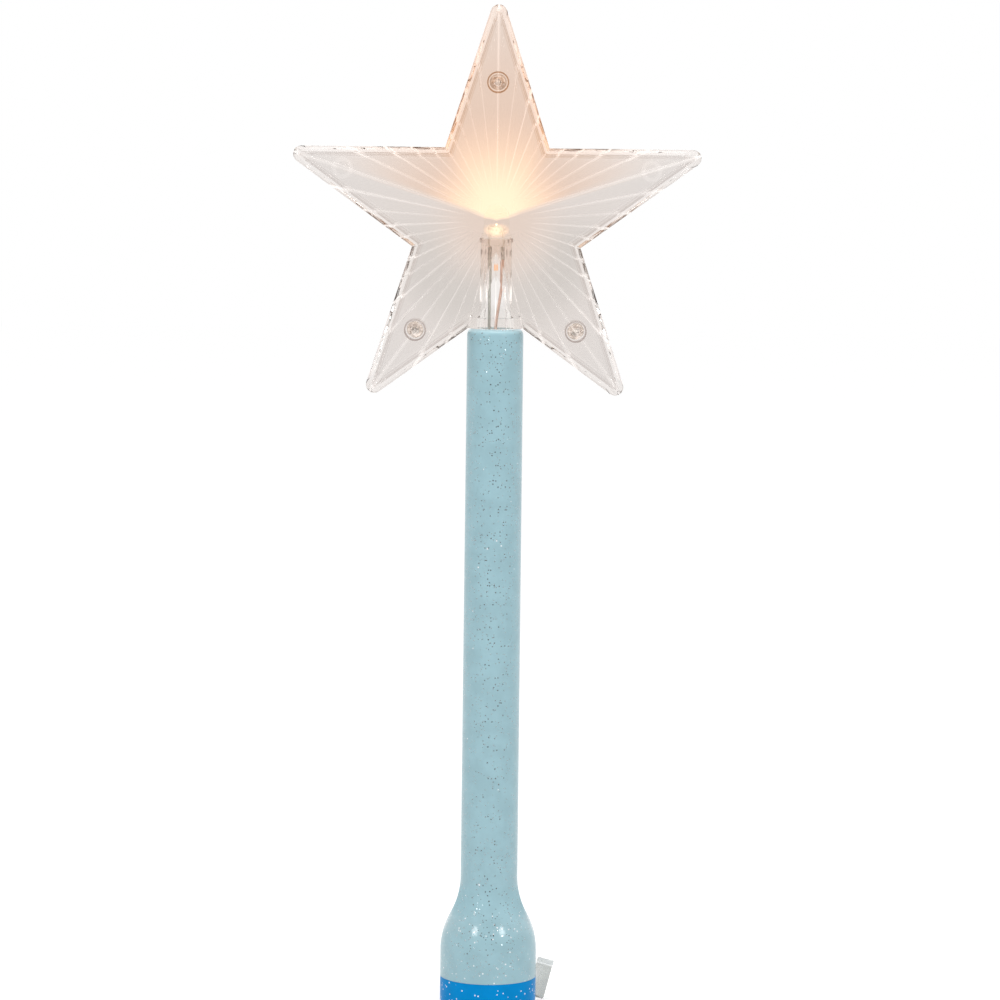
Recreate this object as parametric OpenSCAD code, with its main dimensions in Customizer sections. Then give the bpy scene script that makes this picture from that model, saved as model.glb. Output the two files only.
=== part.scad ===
// Toy magic wand: a clear ribbed star with a lamp, on a glitter shaft with a flared bell and an end cap.
// The origin is the centre of the cap's foot, +Z runs up the shaft and the front faces -Y.

/* [Star] */
// Distance from the star's centre to the end of an arm
star_reach = 68.2; // [60:0.1:75]
// Radius of the rounded end of an arm
tip_r = 2.7; // [2.5:0.1:4]
// Distance from the star's centre to a notch between two arms
notch_reach = 28.3; // [26:0.1:32]
// Half the thickness of the star at its rim
rim_h = 3.5; // [3:0.1:5]
// Half the thickness of the star at its centre
crown_h = 9; // [7.5:0.1:12]
// Width of the bevel around the rim
bevel_w = 2.4; // [1.5:0.1:2.4]
// Wall of the two clear shells
shell_wall = 1.4; // [1:0.1:1.8]

/* [Ribs] */
// Number of ribs that radiate over each face
rib_count = 50; // [20:10:60]
// Height of a rib above the face
rib_h = 0.5; // [0.3:0.1:0.8]
// Width of a rib at its outer end
rib_w = 1.2; // [0.6:0.1:1.6]
// Distance from the centre at which the ribs start
rib_start = 8; // [6:0.5:12]

/* [Star fasteners] */
// Distance from the star's centre to a screw
screw_reach = 43.6; // [36:0.1:46]
// Distance from the star's centre to a locating peg
peg_reach = 51.7; // [44:0.1:53]
// Radius of the bosses for the screws and pegs
boss_r = 3.4; // [3.2:0.1:4]
// Radius of a star screw's shank
screw_r = 1.2; // [1:0.1:1.4]
// Radius of a star screw's head
screw_head_r = 2.5; // [2:0.1:2.6]
// Height of a star screw's head
screw_head_h = 1.5; // [1:0.1:2]
// Depth from the joint of the shells to the seat of a screw head
screw_seat = 2.2; // [1.8:0.1:2.6]
// Reach of a star screw's shank into the front shell
screw_bite = 3; // [2:0.1:3.2]
// Radius of a locating peg
peg_r = 1.5; // [1:0.1:1.8]
// Height of a locating peg
peg_h = 1.5; // [1:0.1:2]

/* [Neck and lamp] */
// Outer radius of the neck under the star
neck_r = 5.1; // [4.8:0.1:5.4]
// Radius of the collar that rests on the shaft's lip
collar_r = 8.6; // [7.5:0.1:8.8]
// Height of the collar
collar_h = 3.4; // [2:0.1:4]
// Radius of the way for the wires inside the neck
wire_way_r = 3.4; // [3.2:0.1:3.6]
// Length of the neck that goes into the shaft
neck_plug = 18; // [10:1:30]
// Distance from the star's centre down to the top of the neck
neck_drop = 6; // [5:0.1:8]
// Radius of the lamp's lens
lamp_r = 4; // [3.4:0.1:4.2]
// Height of the lamp's lens
lamp_h = 11; // [9:0.1:12]
// Radius of the flange under the lens
lamp_flange_r = 4.6; // [4.5:0.1:4.8]
// Height of the flange under the lens
lamp_flange_h = 1.5; // [1:0.1:2]
// Thickness of the disc that carries the lamp
holder_disc_h = 2; // [1.5:0.1:3]
// Radius of the peg between the lamp's leads
holder_peg_r = 0.9; // [0.6:0.1:1]
// Length of the peg below the disc
holder_peg_h = 8; // [4:0.5:12]
// Distance from the axis to each lead
lead_offset = 2.15; // [2:0.05:2.3]
// Radius of a lead
lead_r = 0.3; // [0.25:0.05:0.35]
// Radius of the metal sleeve that joins a lead to its wire
sleeve_r = 0.65; // [0.5:0.05:0.7]
// Length of the sleeve
sleeve_h = 4; // [3:0.5:5]
// Gap between the disc and the sleeve
sleeve_gap = 0.5; // [0.5:0.1:1]
// Radius of a wire with its insulation
wire_r = 0.45; // [0.3:0.05:0.5]

/* [Shaft] */
// Radius of the shaft at its mouth
shaft_top_r = 9; // [8.6:0.1:9.6]
// Radius of the shaft where the flare starts
shaft_foot_r = 9.2; // [9:0.1:10]
// Length of the straight shaft
shaft_len = 177.4; // [150:0.1:200]
// Height of the flare
flare_h = 24; // [20:1:30]
// Radius of the bell and of the end cap
bell_r = 15.5; // [15.3:0.1:18]
// Height of the straight bell under the flare
bell_h = 8.5; // [8:0.1:12]
// Wall of the shaft and bell
shaft_wall = 1.8; // [1.4:0.1:2]
// Rounding of the lip at the mouth
lip_round = 2; // [1:0.1:2.2]
// Bevel that leads the neck into the mouth
lead_in = 1; // [0.5:0.1:1.2]
// Distance from the mouth up to the star's centre
star_gap = 34.6; // [34:0.1:45]

/* [End cap] */
// Height of the end cap
cap_h = 10.5; // [10:0.1:14]
// Rounding of the cap's lower edge
base_round = 3.4; // [1:0.1:3.4]
// Height of the spigot that goes into the bell
spigot_h = 3; // [2:0.1:3.2]
// Wall of the spigot
spigot_wall = 1.3; // [1:0.1:1.5]
// Thickness of the cap's floor above the door
floor_t = 2.2; // [2:0.1:2.6]
// Radius of the battery door
door_r = 9; // [8.9:0.1:9.1]
// Thickness of the battery door
door_t = 1.5; // [1.2:0.1:2]
// Height of the door above the foot
door_recess = 0.5; // [0.3:0.1:0.8]
// Distance from the axis to the door's screw
door_screw_reach = 7.6; // [7.6:0.1:7.8]
// Radius of the door screw's head
door_screw_head_r = 1.15; // [1:0.05:1.2]

/* [Battery bay] */
// Radius of a button cell
cell_r = 5.8; // [5.6:0.1:5.8]
// Height of a button cell
cell_h = 5.4; // [5:0.1:5.4]
// Wall of the tube that holds the cells
holder_wall = 1.2; // [1:0.1:1.3]
// Distance from the axis to each screw of the battery holder
lug_reach = 10.3; // [10.2:0.05:10.4]
// Radius of the holder's two lugs
lug_r = 1.9; // [1.7:0.05:1.9]
// Thickness of the lugs
lug_t = 1.5; // [1:0.1:2]
// Radius of the small screws' shanks
small_screw_r = 0.7; // [0.6:0.05:0.8]
// Radius of the small screws' heads
small_head_r = 1.2; // [1:0.05:1.4]
// Height of the small screws' heads
small_head_h = 0.7; // [0.5:0.1:1]
// Width of the contact strips
contact_w = 3; // [2:0.1:3.2]
// Thickness of the contact strips
contact_t = 0.3; // [0.2:0.05:0.4]

/* [Board and button] */
// Width of the circuit board
board_w = 16; // [15:0.1:16]
// Height of the circuit board
board_h = 11.2; // [11:0.1:11.6]
// Thickness of the circuit board
board_t = 1; // [0.8:0.1:1.2]
// Height of the button's axis above the foot
button_z = 18.2; // [18.1:0.1:18.4]
// Radius of the button
button_r = 3.2; // [2.5:0.1:3.3]
// Distance that the button stands out of the bell
button_proud = 1; // [0.5:0.1:2]
// Travel of the button
button_travel = 0.8; // [0.5:0.1:1]
// Width of the lip that keeps the button in the bell
button_lip = 1; // [0.8:0.1:1]
// Width of the switch
switch_w = 6; // [5:0.1:6]
// Height of the switch above the board
switch_h = 1.2; // [1:0.1:1.4]
// Radius of the switch's plunger
plunger_r = 1.5; // [1:0.1:1.8]

/* [Pull tab] */
// Direction in which the tab leaves the cap, from the +X axis towards the rear
tab_angle = 38; // [38:1:50]
// Width of the tab
tab_w = 8; // [6:0.1:8]
// Thickness of the tab
tab_t = 0.3; // [0.2:0.05:0.4]
// Distance from the axis to the tab's bend
tab_out = 19.3; // [18:0.1:24]
// Inner radius of the tab's bend
tab_bend_r = 0.6; // [0.5:0.1:3]
// Lean of the tab's outer leg away from the shaft
tab_lean = 22; // [0:1:40]
// Length of the tab's outer leg
tab_leg = 10; // [5:0.1:14]
// Height of the folded end of the tab
tab_fold = 1.6; // [1:0.1:3]

/* [Clearances] */
// Clearance of parts that fit into each other and stay
fit = 0.1; // [0.05:0.01:0.2]
// Clearance around parts that move
run = 0.3; // [0.25:0.01:0.4]

/* [Hidden] */

$fn = 64;
// Extra depth of a cut past the face that it opens
cut = 1;
clear_plastic = [0.88, 0.87, 0.86, 0.5];
pale_blue = [0.63, 0.76, 0.8];
strong_blue = [0.02, 0.54, 0.83];
steel = [0.7, 0.7, 0.7];

// Heights above the foot
bell_top = cap_h + bell_h;
flare_top = bell_top + flare_h;
mouth_z = flare_top + shaft_len;
star_z = mouth_z + star_gap;
neck_top = star_z - neck_drop;
neck_foot = mouth_z - neck_plug;

// Seat of the lamp's disc, one ledge wider than the way for the wires
disc_ledge = 0.5;
disc_way_r = wire_way_r + disc_ledge;

// Star: five arms, whose straight sides touch the rounded ends and meet in the notches
arms = 5;
arm_step = 360 / arms;
half_step = arm_step / 2;
first_arm = 90;
least_corner = 0.3;
tip_centre = star_reach - tip_r;
notch_point = notch_reach * [cos(half_step), sin(half_step)];
side_run = [tip_centre, 0] - notch_point;
arm_half_angle = atan2(-side_run[1], side_run[0]) - asin(tip_r / norm(side_run));
// Direction that an arm's side faces, from the arm's own axis
side_turn = 90 - arm_half_angle;

// The outline moved inwards by an inset: its rounded end, its notch, and its reach on a line from the centre
function corner_r(inset) = max(tip_r - inset, least_corner);
function corner_x(inset) = tip_centre - (inset + corner_r(inset) - tip_r) / sin(arm_half_angle);
function notch_x(inset) = notch_reach - inset / sin(half_step + arm_half_angle);
function touch_angle(inset) =
    atan2(corner_r(inset) * sin(side_turn), corner_x(inset) + corner_r(inset) * cos(side_turn));
function end_reach(inset, a) =
    corner_x(inset) * cos(a) + sqrt(pow(corner_r(inset), 2) - pow(corner_x(inset) * sin(a), 2));
function side_reach(inset, a) = notch_x(inset) * cos(half_step - side_turn) / cos(a - side_turn);
function off_axis(a) = let (m = (a + 360) % arm_step) min(m, arm_step - m);
function reach(inset, a) =
    let (f = off_axis(a)) f < touch_angle(inset) ? end_reach(inset, f) : side_reach(inset, f);

// Lines from the centre that the faces are drawn on, as [angle from the top arm, share of a rib's height]
rib_step = 360 / rib_count;
rib_turn = asin(rib_w / 2 / star_reach);
ribs_per_arm = rib_count / arms;
tip_lines = [for (share = [0.55, 0.8, 1]) share * touch_angle(0)];
function reversed(list) = [for (i = [len(list) - 1 : -1 : 0]) list[i]];
function tip_fan(a, side) = [for (t = side < 0 ? reversed(tip_lines) : tip_lines) [a + side * t, 0]];
function rib_fan(a, on_corner) = concat([[a - rib_turn, 0], [a - rib_turn / 2, 1]], on_corner ? [[a, 1]] : [],
    [[a + rib_turn / 2, 1], [a + rib_turn, 0]]);
rib_lines = [for (i = [0 : rib_count - 1]) let (a = i * rib_step) each
    i % ribs_per_arm == 0 ? concat(tip_fan(a, -1), rib_fan(a, true), tip_fan(a, 1))
    : rib_fan(a, 2 * i % ribs_per_arm == 0)];

// One ring of points round the star: an inset outline at a height, with the ribs standing out and up
function star_point(r, a, z) = [r * cos(first_arm + a), r * sin(first_arm + a), z];
function star_ring(inset, z, proud = 0, rise = 0) =
    [for (l = rib_lines) star_point(reach(inset - l[1] * proud, l[0]), l[0], z + l[1] * rise)];
// Ring where the ribs run out towards the centre
rib_start_ring = [for (l = rib_lines)
    star_point(rib_start, l[0], crown_h - (crown_h - rim_h) * rib_start / reach(bevel_w, l[0]))];
// Height above the joint of the shells at which the ribs start, and how far they stand out of the bevel
rib_foot = 0.7;
rib_proud = 0.4;

// Height of the ridge along an arm, at a distance from the centre
face_reach = corner_x(bevel_w) + corner_r(bevel_w);
function ridge_h(distance) = crown_h - (crown_h - rim_h) * distance / face_reach;

// Angles of the arms that hold screws and of those that hold locating pegs, from the top arm
screw_angles = [0, 2 * arm_step, 3 * arm_step];
peg_angles = [arm_step, 4 * arm_step];
// Turn that keeps the seam line of a round part off the arm's ridge
seam_angle = 90;

// Battery bay, from the door upwards
door_top = door_recess + door_t;
floor_top = door_top + floor_t;
bell_in_r = bell_r - shaft_wall;
bore_r = shaft_top_r - shaft_wall;
socket_r = neck_r + 2 * fit;
spigot_r = bell_in_r - fit;
cap_in_r = spigot_r - spigot_wall;
cell_way_r = cell_r + run;
holder_r = cell_way_r + holder_wall;
// Height of the door contact's sprung centre, and its gap to the tab
leaf_h = 0.5;
tab_gap = 0.2;
tab_z = door_top + contact_t + leaf_h + tab_gap;
cell_z = tab_z + tab_t + tab_gap;
cell_gap = 0.05;
cell_step = cell_h + cell_gap;
cells_top = cell_z + 3 * cell_step;
roof_z = cells_top + contact_t + cell_gap;
roof_t = 1.2;
holder_top = roof_z + roof_t;
// Depth of the blind holes for the holder's screws, and of those for the board's screws
blind_depth = 2.8;
board_hole_depth = 2;
// Step in from a cell's rim to its lower pole, and the pole's height
pole_step = 0.6;
pole_h = 0.5;
// Radius of the round contact plates, and of the foot and top of the sprung centre
plate_r = cell_r - 1;
leaf_foot_r = 3;
leaf_top_r = 2;

// Board behind the battery holder
board_front = holder_r + run;
board_back = board_front + board_t;
// Margins of the board above the switch's axis, and around its screws and solder pads
board_over_switch = 3.8;
screw_margin = 1.7;
pad_margin = 2.2;
board_top = button_z + board_over_switch;
board_foot = board_top - board_h;
board_screw_x = board_w / 2 - screw_margin;
board_screw_z = board_foot + screw_margin;
strap_y = board_front + run;
pad_x = board_w / 2 - pad_margin;
pad_w = 1.6;
pad_h = 1;
pad_top = board_top - pad_w;
chip_r = 1.9;
chip_h = 1;
chip_gap = 0.7;
chip_x = switch_w / 2 + chip_r + chip_gap;
chip_z = button_z - 1;

// Button, from the board outwards
switch_floor = 0.2;
switch_top = board_back + switch_h;
plunger_top = switch_top + button_travel;
button_face = bell_r + button_proud;
button_lip_r = button_r + button_lip;
button_seat = sqrt(pow(bell_in_r, 2) - pow(button_lip_r, 2)) - run;
button_lip_t = 1;
button_round = 0.6;

// Pull tab's turn from flat to its leaning leg
tab_turn = 90 - tab_lean;
// Distance from the axis to the tab's inner end
tab_in = 1.5;
bend_steps = 6;

// Routes of the two wires, from the lamp down to the board
wire_top = neck_top - holder_disc_h - sleeve_gap - sleeve_h;
wire_y = board_back + wire_r + cell_gap;
red_route = [[lead_offset, 0, wire_top], [lead_offset, 0, neck_top - 10], [2, -0.1, neck_top - 14],
    [1.5, -0.3, neck_top - 18], [0.9, -0.4, neck_top - 22], [0.2, -0.3, neck_top - 27], [0, 0, 216],
    [0.6, 0.5, 205], [1.6, 0.8, 190], [2, 0.4, 165], [1.4, -0.4, 140], [0.9, 0.2, 115], [1.6, 0.8, 90],
    [2.2, 0.9, 65], [2.6, 1.6, 48], [3.4, 4.2, 36], [4.9, 7.6, 28], [pad_x, wire_y, 23.5],
    [pad_x, wire_y, pad_top]];
black_route = [[-lead_offset, 0, wire_top], [-lead_offset, 0, neck_top - 10], [-2.1, 0.1, neck_top - 15],
    [-2, 0.2, neck_top - 21], [-2, 0.2, neck_top - 27], [-2, 0, 216], [-1.8, -0.3, 205], [-1.2, -0.8, 190],
    [-1.6, -0.6, 165], [-2.2, 0.2, 140], [-1.8, 0.8, 115], [-1.2, 0.4, 90], [-1.6, 0.6, 65], [-2.4, 1.4, 48],
    [-3.4, 4.2, 36], [-4.9, 7.6, 28], [-pad_x, wire_y, 23.5], [-pad_x, wire_y, pad_top]];
wire_sides = 8;

// Clear half of the star on the joint plane: a bevelled rim under a shallow five-ridged crown, with ribs.
// One closed skin runs from the inside's crown down to the joint, over the rim and up to the outside's crown.
module ribbed_shell() {
    rings = [star_ring(bevel_w + shell_wall, rim_h - shell_wall), star_ring(shell_wall, 0), star_ring(0, 0),
        star_ring(bevel_w * rib_foot / rim_h, rib_foot, rib_proud),
        star_ring(bevel_w, rim_h, rib_proud, rib_h), rib_start_ring];
    n = len(rib_lines);
    last = len(rings) - 1;
    inside = n * len(rings);
    outside = inside + 1;
    polyhedron(
        points = concat([for (ring = rings) each ring], [[0, 0, crown_h - shell_wall], [0, 0, crown_h]]),
        faces = concat([for (i = [0 : n - 1]) [i, (i + 1) % n, inside]],
            [for (k = [0 : last - 1], i = [0 : n - 1]) let (j = (i + 1) % n) each
                [[k * n + i, k * n + n + i, k * n + n + j], [k * n + i, k * n + n + j, k * n + j]]],
            [for (i = [0 : n - 1]) [last * n + i, outside, last * n + (i + 1) % n]]));
}

module at_arms(angles, distance) {
    for (a = angles) rotate(first_arm + a) translate([distance, 0, 0]) rotate(seam_angle) children();
}

function boss_h(distance) = ridge_h(distance) - shell_wall + 2 * fit;

// Stands a shape that lies on the joint plane up at the star's height, towards the front or the rear
module to_front() { translate([0, 0, star_z]) rotate([90, 0, 0]) children(); }
module to_rear() { mirror([0, 1, 0]) to_front() children(); }

// Half of the neck's tube and of the collar on the shaft's lip, on the side of the joint plane given by side
module neck_half(side) {
    half = collar_r + cut;
    intersection() {
        union() {
            translate([0, 0, neck_foot]) cylinder(r = neck_r, h = neck_top - neck_foot);
            translate([0, 0, mouth_z + fit]) cylinder(r = collar_r, h = collar_h);
        }
        translate([-half, side < 0 ? -half : 0, neck_foot - cut])
            cube([2 * half, half, neck_top - neck_foot + 2 * cut]);
    }
}

// Way for the wires, with a wider seat for the lamp's disc at the top
module neck_way() {
    translate([0, 0, neck_foot - cut]) cylinder(r = wire_way_r, h = neck_top - neck_foot + cut);
    translate([0, 0, neck_top - holder_disc_h]) cylinder(r = disc_way_r, h = holder_disc_h + fit);
}

module star_front() {
    color(clear_plastic) difference() {
        union() {
            to_front() {
                ribbed_shell();
                at_arms(screw_angles, screw_reach) cylinder(r = boss_r, h = boss_h(screw_reach));
                at_arms(peg_angles, peg_reach) cylinder(r = boss_r, h = boss_h(peg_reach));
            }
            to_rear() at_arms(peg_angles, peg_reach) translate([0, 0, -cut])
                cylinder(r = peg_r, h = peg_h + cut);
            neck_half(-1);
        }
        neck_way();
        to_front() at_arms(screw_angles, screw_reach) translate([0, 0, -cut])
            cylinder(r = screw_r + fit, h = screw_bite + run + cut);
    }
}

module star_rear() {
    color(clear_plastic) difference() {
        union() {
            to_rear() {
                ribbed_shell();
                at_arms(screw_angles, screw_reach) cylinder(r = boss_r, h = boss_h(screw_reach));
                at_arms(peg_angles, peg_reach) cylinder(r = boss_r, h = boss_h(peg_reach));
            }
            neck_half(1);
        }
        neck_way();
        to_rear() {
            at_arms(screw_angles, screw_reach) {
                translate([0, 0, -cut]) cylinder(r = screw_r + fit, h = crown_h);
                translate([0, 0, screw_seat]) cylinder(r = screw_head_r + fit, h = crown_h);
            }
            at_arms(peg_angles, peg_reach) translate([0, 0, -cut])
                cylinder(r = peg_r + fit, h = peg_h + fit + cut);
        }
    }
}

// Screw that points down from its seat at z = 0, with a crossed drive in its head
module screw(shank_r, shank_h, head_r, head_h) {
    slot_w = head_r / 4;
    difference() {
        union() {
            translate([0, 0, -shank_h]) cylinder(r = shank_r, h = shank_h);
            cylinder(r = head_r, h = head_h);
        }
        for (turn = [0, 90]) rotate(turn) translate([-head_r * 0.6, -slot_w / 2, head_h * 0.5])
            cube([head_r * 1.2, slot_w, head_h]);
    }
}

module star_screws() {
    color(steel) to_rear() at_arms(screw_angles, screw_reach) translate([0, 0, screw_seat])
        screw(screw_r, screw_seat + screw_bite, screw_head_r, screw_head_h);
}

module at_leads() { for (side = [-1, 1]) translate([side * lead_offset, 0, 0]) children(); }

module lamp_holder() {
    disc_foot = neck_top - holder_disc_h;
    color(clear_plastic) difference() {
        union() {
            translate([0, 0, disc_foot]) cylinder(r = disc_way_r - fit, h = holder_disc_h);
            translate([0, 0, disc_foot - holder_peg_h]) cylinder(r = holder_peg_r, h = holder_peg_h);
        }
        at_leads() translate([0, 0, disc_foot - cut]) cylinder(r = lead_r + fit, h = holder_disc_h + 2 * cut);
    }
}

// Inside of the lens, which holds the tops of the leads and the chip
lamp_cavity_r = lead_offset + lead_r + run;
lamp_cavity_h = 4;
lamp_cavity_roof = 1.2;
module lamp_lens() {
    color([1, 0.93, 0.75, 0.6]) translate([0, 0, neck_top]) difference() {
        union() {
            cylinder(r = lamp_flange_r, h = lamp_flange_h);
            cylinder(r = lamp_r, h = lamp_h - lamp_r);
            translate([0, 0, lamp_h - lamp_r]) sphere(r = lamp_r);
        }
        translate([0, 0, -lamp_r]) cylinder(r = lamp_flange_r + cut, h = lamp_r);
        translate([0, 0, lamp_flange_h]) cylinder(r = lamp_cavity_r, h = lamp_cavity_h);
        at_leads() translate([0, 0, -cut]) cylinder(r = lead_r + fit, h = lamp_flange_h + 2 * cut);
    }
}

lead_top = neck_top + lamp_flange_h + lamp_cavity_h - lamp_cavity_roof;
chip_side = 0.8;
anvil_h = 0.8;
module lamp_leads() {
    lead_foot = neck_top - holder_disc_h - sleeve_gap;
    color(steel) {
        at_leads() translate([0, 0, lead_foot]) cylinder(r = lead_r, h = lead_top - anvil_h - lead_foot);
        translate([-lead_offset - lead_r, -chip_side / 2, lead_top - anvil_h])
            cube([lead_offset + lead_r + chip_side / 2, chip_side, anvil_h]);
    }
}

module lamp_chip() {
    color("gold") translate([-chip_side / 4, -chip_side / 4, lead_top])
        cube([chip_side / 2, chip_side / 2, chip_side / 2]);
}

module lead_sleeves() {
    color(steel) at_leads() translate([0, 0, wire_top])
        cylinder(r = sleeve_r, h = sleeve_h);
}

// Smooth route through hand-set points, halving each stretch
function mid_point(p, i) = let (n = len(p) - 1)
    (9 * (p[i] + p[i + 1]) - p[max(i - 1, 0)] - p[min(i + 2, n)]) / 16;
function smooth(p) = [for (i = [0 : len(p) - 1]) each i < len(p) - 1 ? [p[i], mid_point(p, i)] : [p[i]]];

// Round cord swept along a route that runs mostly downwards
module cord(route, r) {
    path = smooth(route);
    last = len(path) - 1;
    rings = [for (i = [0 : last])
        let (along = path[min(i + 1, last)] - path[max(i - 1, 0)],
            u = cross(along, [1, 0, 0]) / norm(cross(along, [1, 0, 0])),
            v = cross(along, u) / norm(cross(along, u)))
        [for (k = [0 : wire_sides - 1]) let (a = k * 360 / wire_sides)
            path[i] + r * (cos(a) * u + sin(a) * v)]];
    function at(i, k) = i * wire_sides + k % wire_sides;
    polyhedron(
        points = [for (ring = rings) each ring],
        faces = concat([[for (k = [wire_sides - 1 : -1 : 0]) at(0, k)]],
            [[for (k = [0 : wire_sides - 1]) at(last, k)]],
            [for (i = [0 : last - 1], k = [0 : wire_sides - 1]) each [
                [at(i, k), at(i, k + 1), at(i + 1, k + 1)], [at(i, k), at(i + 1, k + 1), at(i + 1, k)]]]));
}

module wire_red() { color([0.72, 0.36, 0.28]) cord(red_route, wire_r); }
module wire_black() { color([0.45, 0.47, 0.45]) cord(black_route, wire_r); }

// Flare from a lower radius to an upper one, as two equal arcs that run on into each other
flare_steps = 10;
function flare(low_r, high_r) =
    let (rise = flare_h / 2, draw = (low_r - high_r) / 2,
        r = (rise * rise + draw * draw) / (2 * draw), turn = asin(rise / r))
    concat(
        [for (i = [0 : flare_steps]) let (a = turn * i / flare_steps)
            [low_r - r + r * cos(a), bell_top + r * sin(a)]],
        [for (i = [flare_steps - 1 : -1 : 0]) let (a = turn * i / flare_steps)
            [high_r + r - r * cos(a), flare_top - r * sin(a)]]);
// Quarter arc from the side of a round part over to its end
arc_steps = 6;
function edge_arc(side_r, z, round, up) = [for (i = [0 : arc_steps]) let (a = 90 * i / arc_steps)
    [side_r - round + round * cos(a), z + up * round * (sin(a) - 1)]];

module wand_shaft() {
    socket_foot = neck_foot - 2 * fit;
    shoulder = bore_r - socket_r;
    color(pale_blue) difference() {
        rotate_extrude($fn = 96) polygon(concat(
            [[bell_r, cap_h]], flare(bell_r, shaft_foot_r), edge_arc(shaft_top_r, mouth_z, lip_round, 1),
            [[socket_r + lead_in, mouth_z], [socket_r, mouth_z - lead_in], [socket_r, socket_foot],
                [bore_r, socket_foot - shoulder]],
            reversed(flare(bell_in_r, bore_r)), [[bell_in_r, cap_h]]));
        translate([0, 0, button_z]) rotate([-90, 0, 0]) cylinder(r = button_r + run, h = bell_r + cut);
    }
}

module at_lugs() { for (side = [-1, 1]) translate([side * lug_reach, 0, 0]) children(); }
module at_door_screw() { rotate(tab_angle + 180) translate([door_screw_reach, 0, 0]) children(); }

module end_cap() {
    color(strong_blue) difference() {
        rotate_extrude($fn = 96) polygon(concat(
            [[cell_way_r, floor_top], [cell_way_r, door_top], [door_r + fit, door_top], [door_r + fit, 0]],
            reversed(edge_arc(bell_r, 0, base_round, -1)),
            [[bell_r, cap_h], [spigot_r, cap_h], [spigot_r, cap_h + spigot_h], [cap_in_r, cap_h + spigot_h],
                [cap_in_r, floor_top]]));
        rotate(tab_angle) translate([cell_r - cut, -tab_w / 2 - run, tab_z - run])
            cube([bell_r, tab_w + 2 * run, tab_t + 2 * run]);
        translate([-contact_w / 2 - run, 0, door_top - cut])
            cube([contact_w + 2 * run, strap_y + contact_t + run, floor_t + 2 * cut]);
        at_lugs() translate([0, 0, floor_top - blind_depth])
            cylinder(r = small_screw_r + fit, h = blind_depth + cut);
        at_door_screw() translate([0, 0, door_top - cut])
            cylinder(r = small_screw_r + run, h = floor_t + cut - 2 * fit);
    }
}

module at_board_screws(y) {
    for (side = [-1, 1]) translate([side * board_screw_x, y, board_screw_z]) rotate([-90, 0, 0]) children();
}

module battery_holder() {
    strap_slot_h = contact_t + 2 * fit;
    color("white") difference() {
        union() {
            translate([0, 0, floor_top]) cylinder(r = holder_r, h = holder_top - floor_top);
            translate([-board_w / 2, 0, board_foot]) cube([board_w, board_front, holder_top - board_foot]);
            for (side = [0, 1]) mirror([side, 0, 0]) holder_lug();
        }
        translate([0, 0, floor_top - cut]) cylinder(r = cell_way_r, h = roof_z - floor_top + cut);
        translate([-contact_w / 2 - fit, 0, cells_top])
            cube([contact_w + 2 * fit, board_front + cut, strap_slot_h]);
        at_lugs() translate([0, 0, floor_top - cut])
            cylinder(r = small_screw_r + fit, h = lug_t + 2 * cut);
        at_board_screws(board_front - board_hole_depth)
            cylinder(r = small_screw_r + fit, h = board_hole_depth + cut);
    }
}

// Lug of the battery holder: a flat arm with a round end
module holder_lug() {
    translate([0, -lug_r, floor_top]) cube([lug_reach, 2 * lug_r, lug_t]);
    translate([lug_reach, 0, floor_top]) cylinder(r = lug_r, h = lug_t);
}

module holder_screws() {
    color(steel) at_lugs() translate([0, 0, floor_top + lug_t])
        screw(small_screw_r, lug_t + blind_depth - run, small_head_r, small_head_h);
}

// Button cell: a wide can with a narrower lower pole
module button_cell(place) {
    color(steel) translate([0, 0, cell_z + place * cell_step]) {
        cylinder(r = cell_r - pole_step, h = pole_h);
        translate([0, 0, pole_h]) cylinder(r = cell_r, h = cell_h - pole_h);
    }
}
module cell_lower() { button_cell(0); }
module cell_middle() { button_cell(1); }
module cell_upper() { button_cell(2); }

module contact_positive() {
    color("goldenrod") translate([0, 0, cells_top]) {
        cylinder(r = plate_r, h = contact_t);
        translate([-contact_w / 2, 0, 0]) cube([contact_w, board_front, contact_t]);
    }
}

module contact_negative() {
    color("goldenrod") translate([0, 0, door_top]) {
        cylinder(r = plate_r, h = contact_t);
        translate([0, 0, contact_t]) cylinder(r1 = leaf_foot_r, r2 = leaf_top_r, h = leaf_h);
        translate([-contact_w / 2, 0, 0]) cube([contact_w, strap_y + contact_t, contact_t]);
    }
}

module contact_strap() {
    strap_foot = door_top + contact_t + cell_gap;
    color("goldenrod") translate([-contact_w / 2, strap_y, strap_foot])
        cube([contact_w, contact_t, board_foot - strap_foot]);
}

module circuit_board() {
    color("darkgreen") {
        difference() {
            translate([-board_w / 2, board_front, board_foot]) cube([board_w, board_t, board_h]);
            at_board_screws(board_front - cut) cylinder(r = small_screw_r + fit, h = board_t + 2 * cut);
        }
        for (side = [-1, 1]) translate([side * pad_x - pad_w / 2, board_back, pad_top - pad_h])
            cube([pad_w, pad_h, pad_h]);
    }
}

module board_screws() {
    color(steel) at_board_screws(board_back)
        screw(small_screw_r, board_t + board_hole_depth - run, small_head_r, small_head_h);
}

module control_chip() {
    color([0.08, 0.08, 0.08]) translate([-chip_x, board_back, chip_z]) rotate([-90, 0, 0])
        cylinder(r1 = chip_r, r2 = chip_r * 0.6, h = chip_h);
}

module switch_body() {
    color([0.15, 0.15, 0.15]) difference() {
        translate([-switch_w / 2, board_back, button_z - switch_w / 2]) cube([switch_w, switch_h, switch_w]);
        translate([0, board_back + switch_floor, button_z]) rotate([-90, 0, 0])
            cylinder(r = plunger_r + run, h = switch_h);
    }
}

module switch_plunger() {
    plunger_foot = board_back + switch_floor + button_travel + fit;
    color("white") translate([0, plunger_foot, button_z]) rotate([-90, 0, 0])
        cylinder(r = plunger_r, h = plunger_top - plunger_foot);
}

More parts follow.
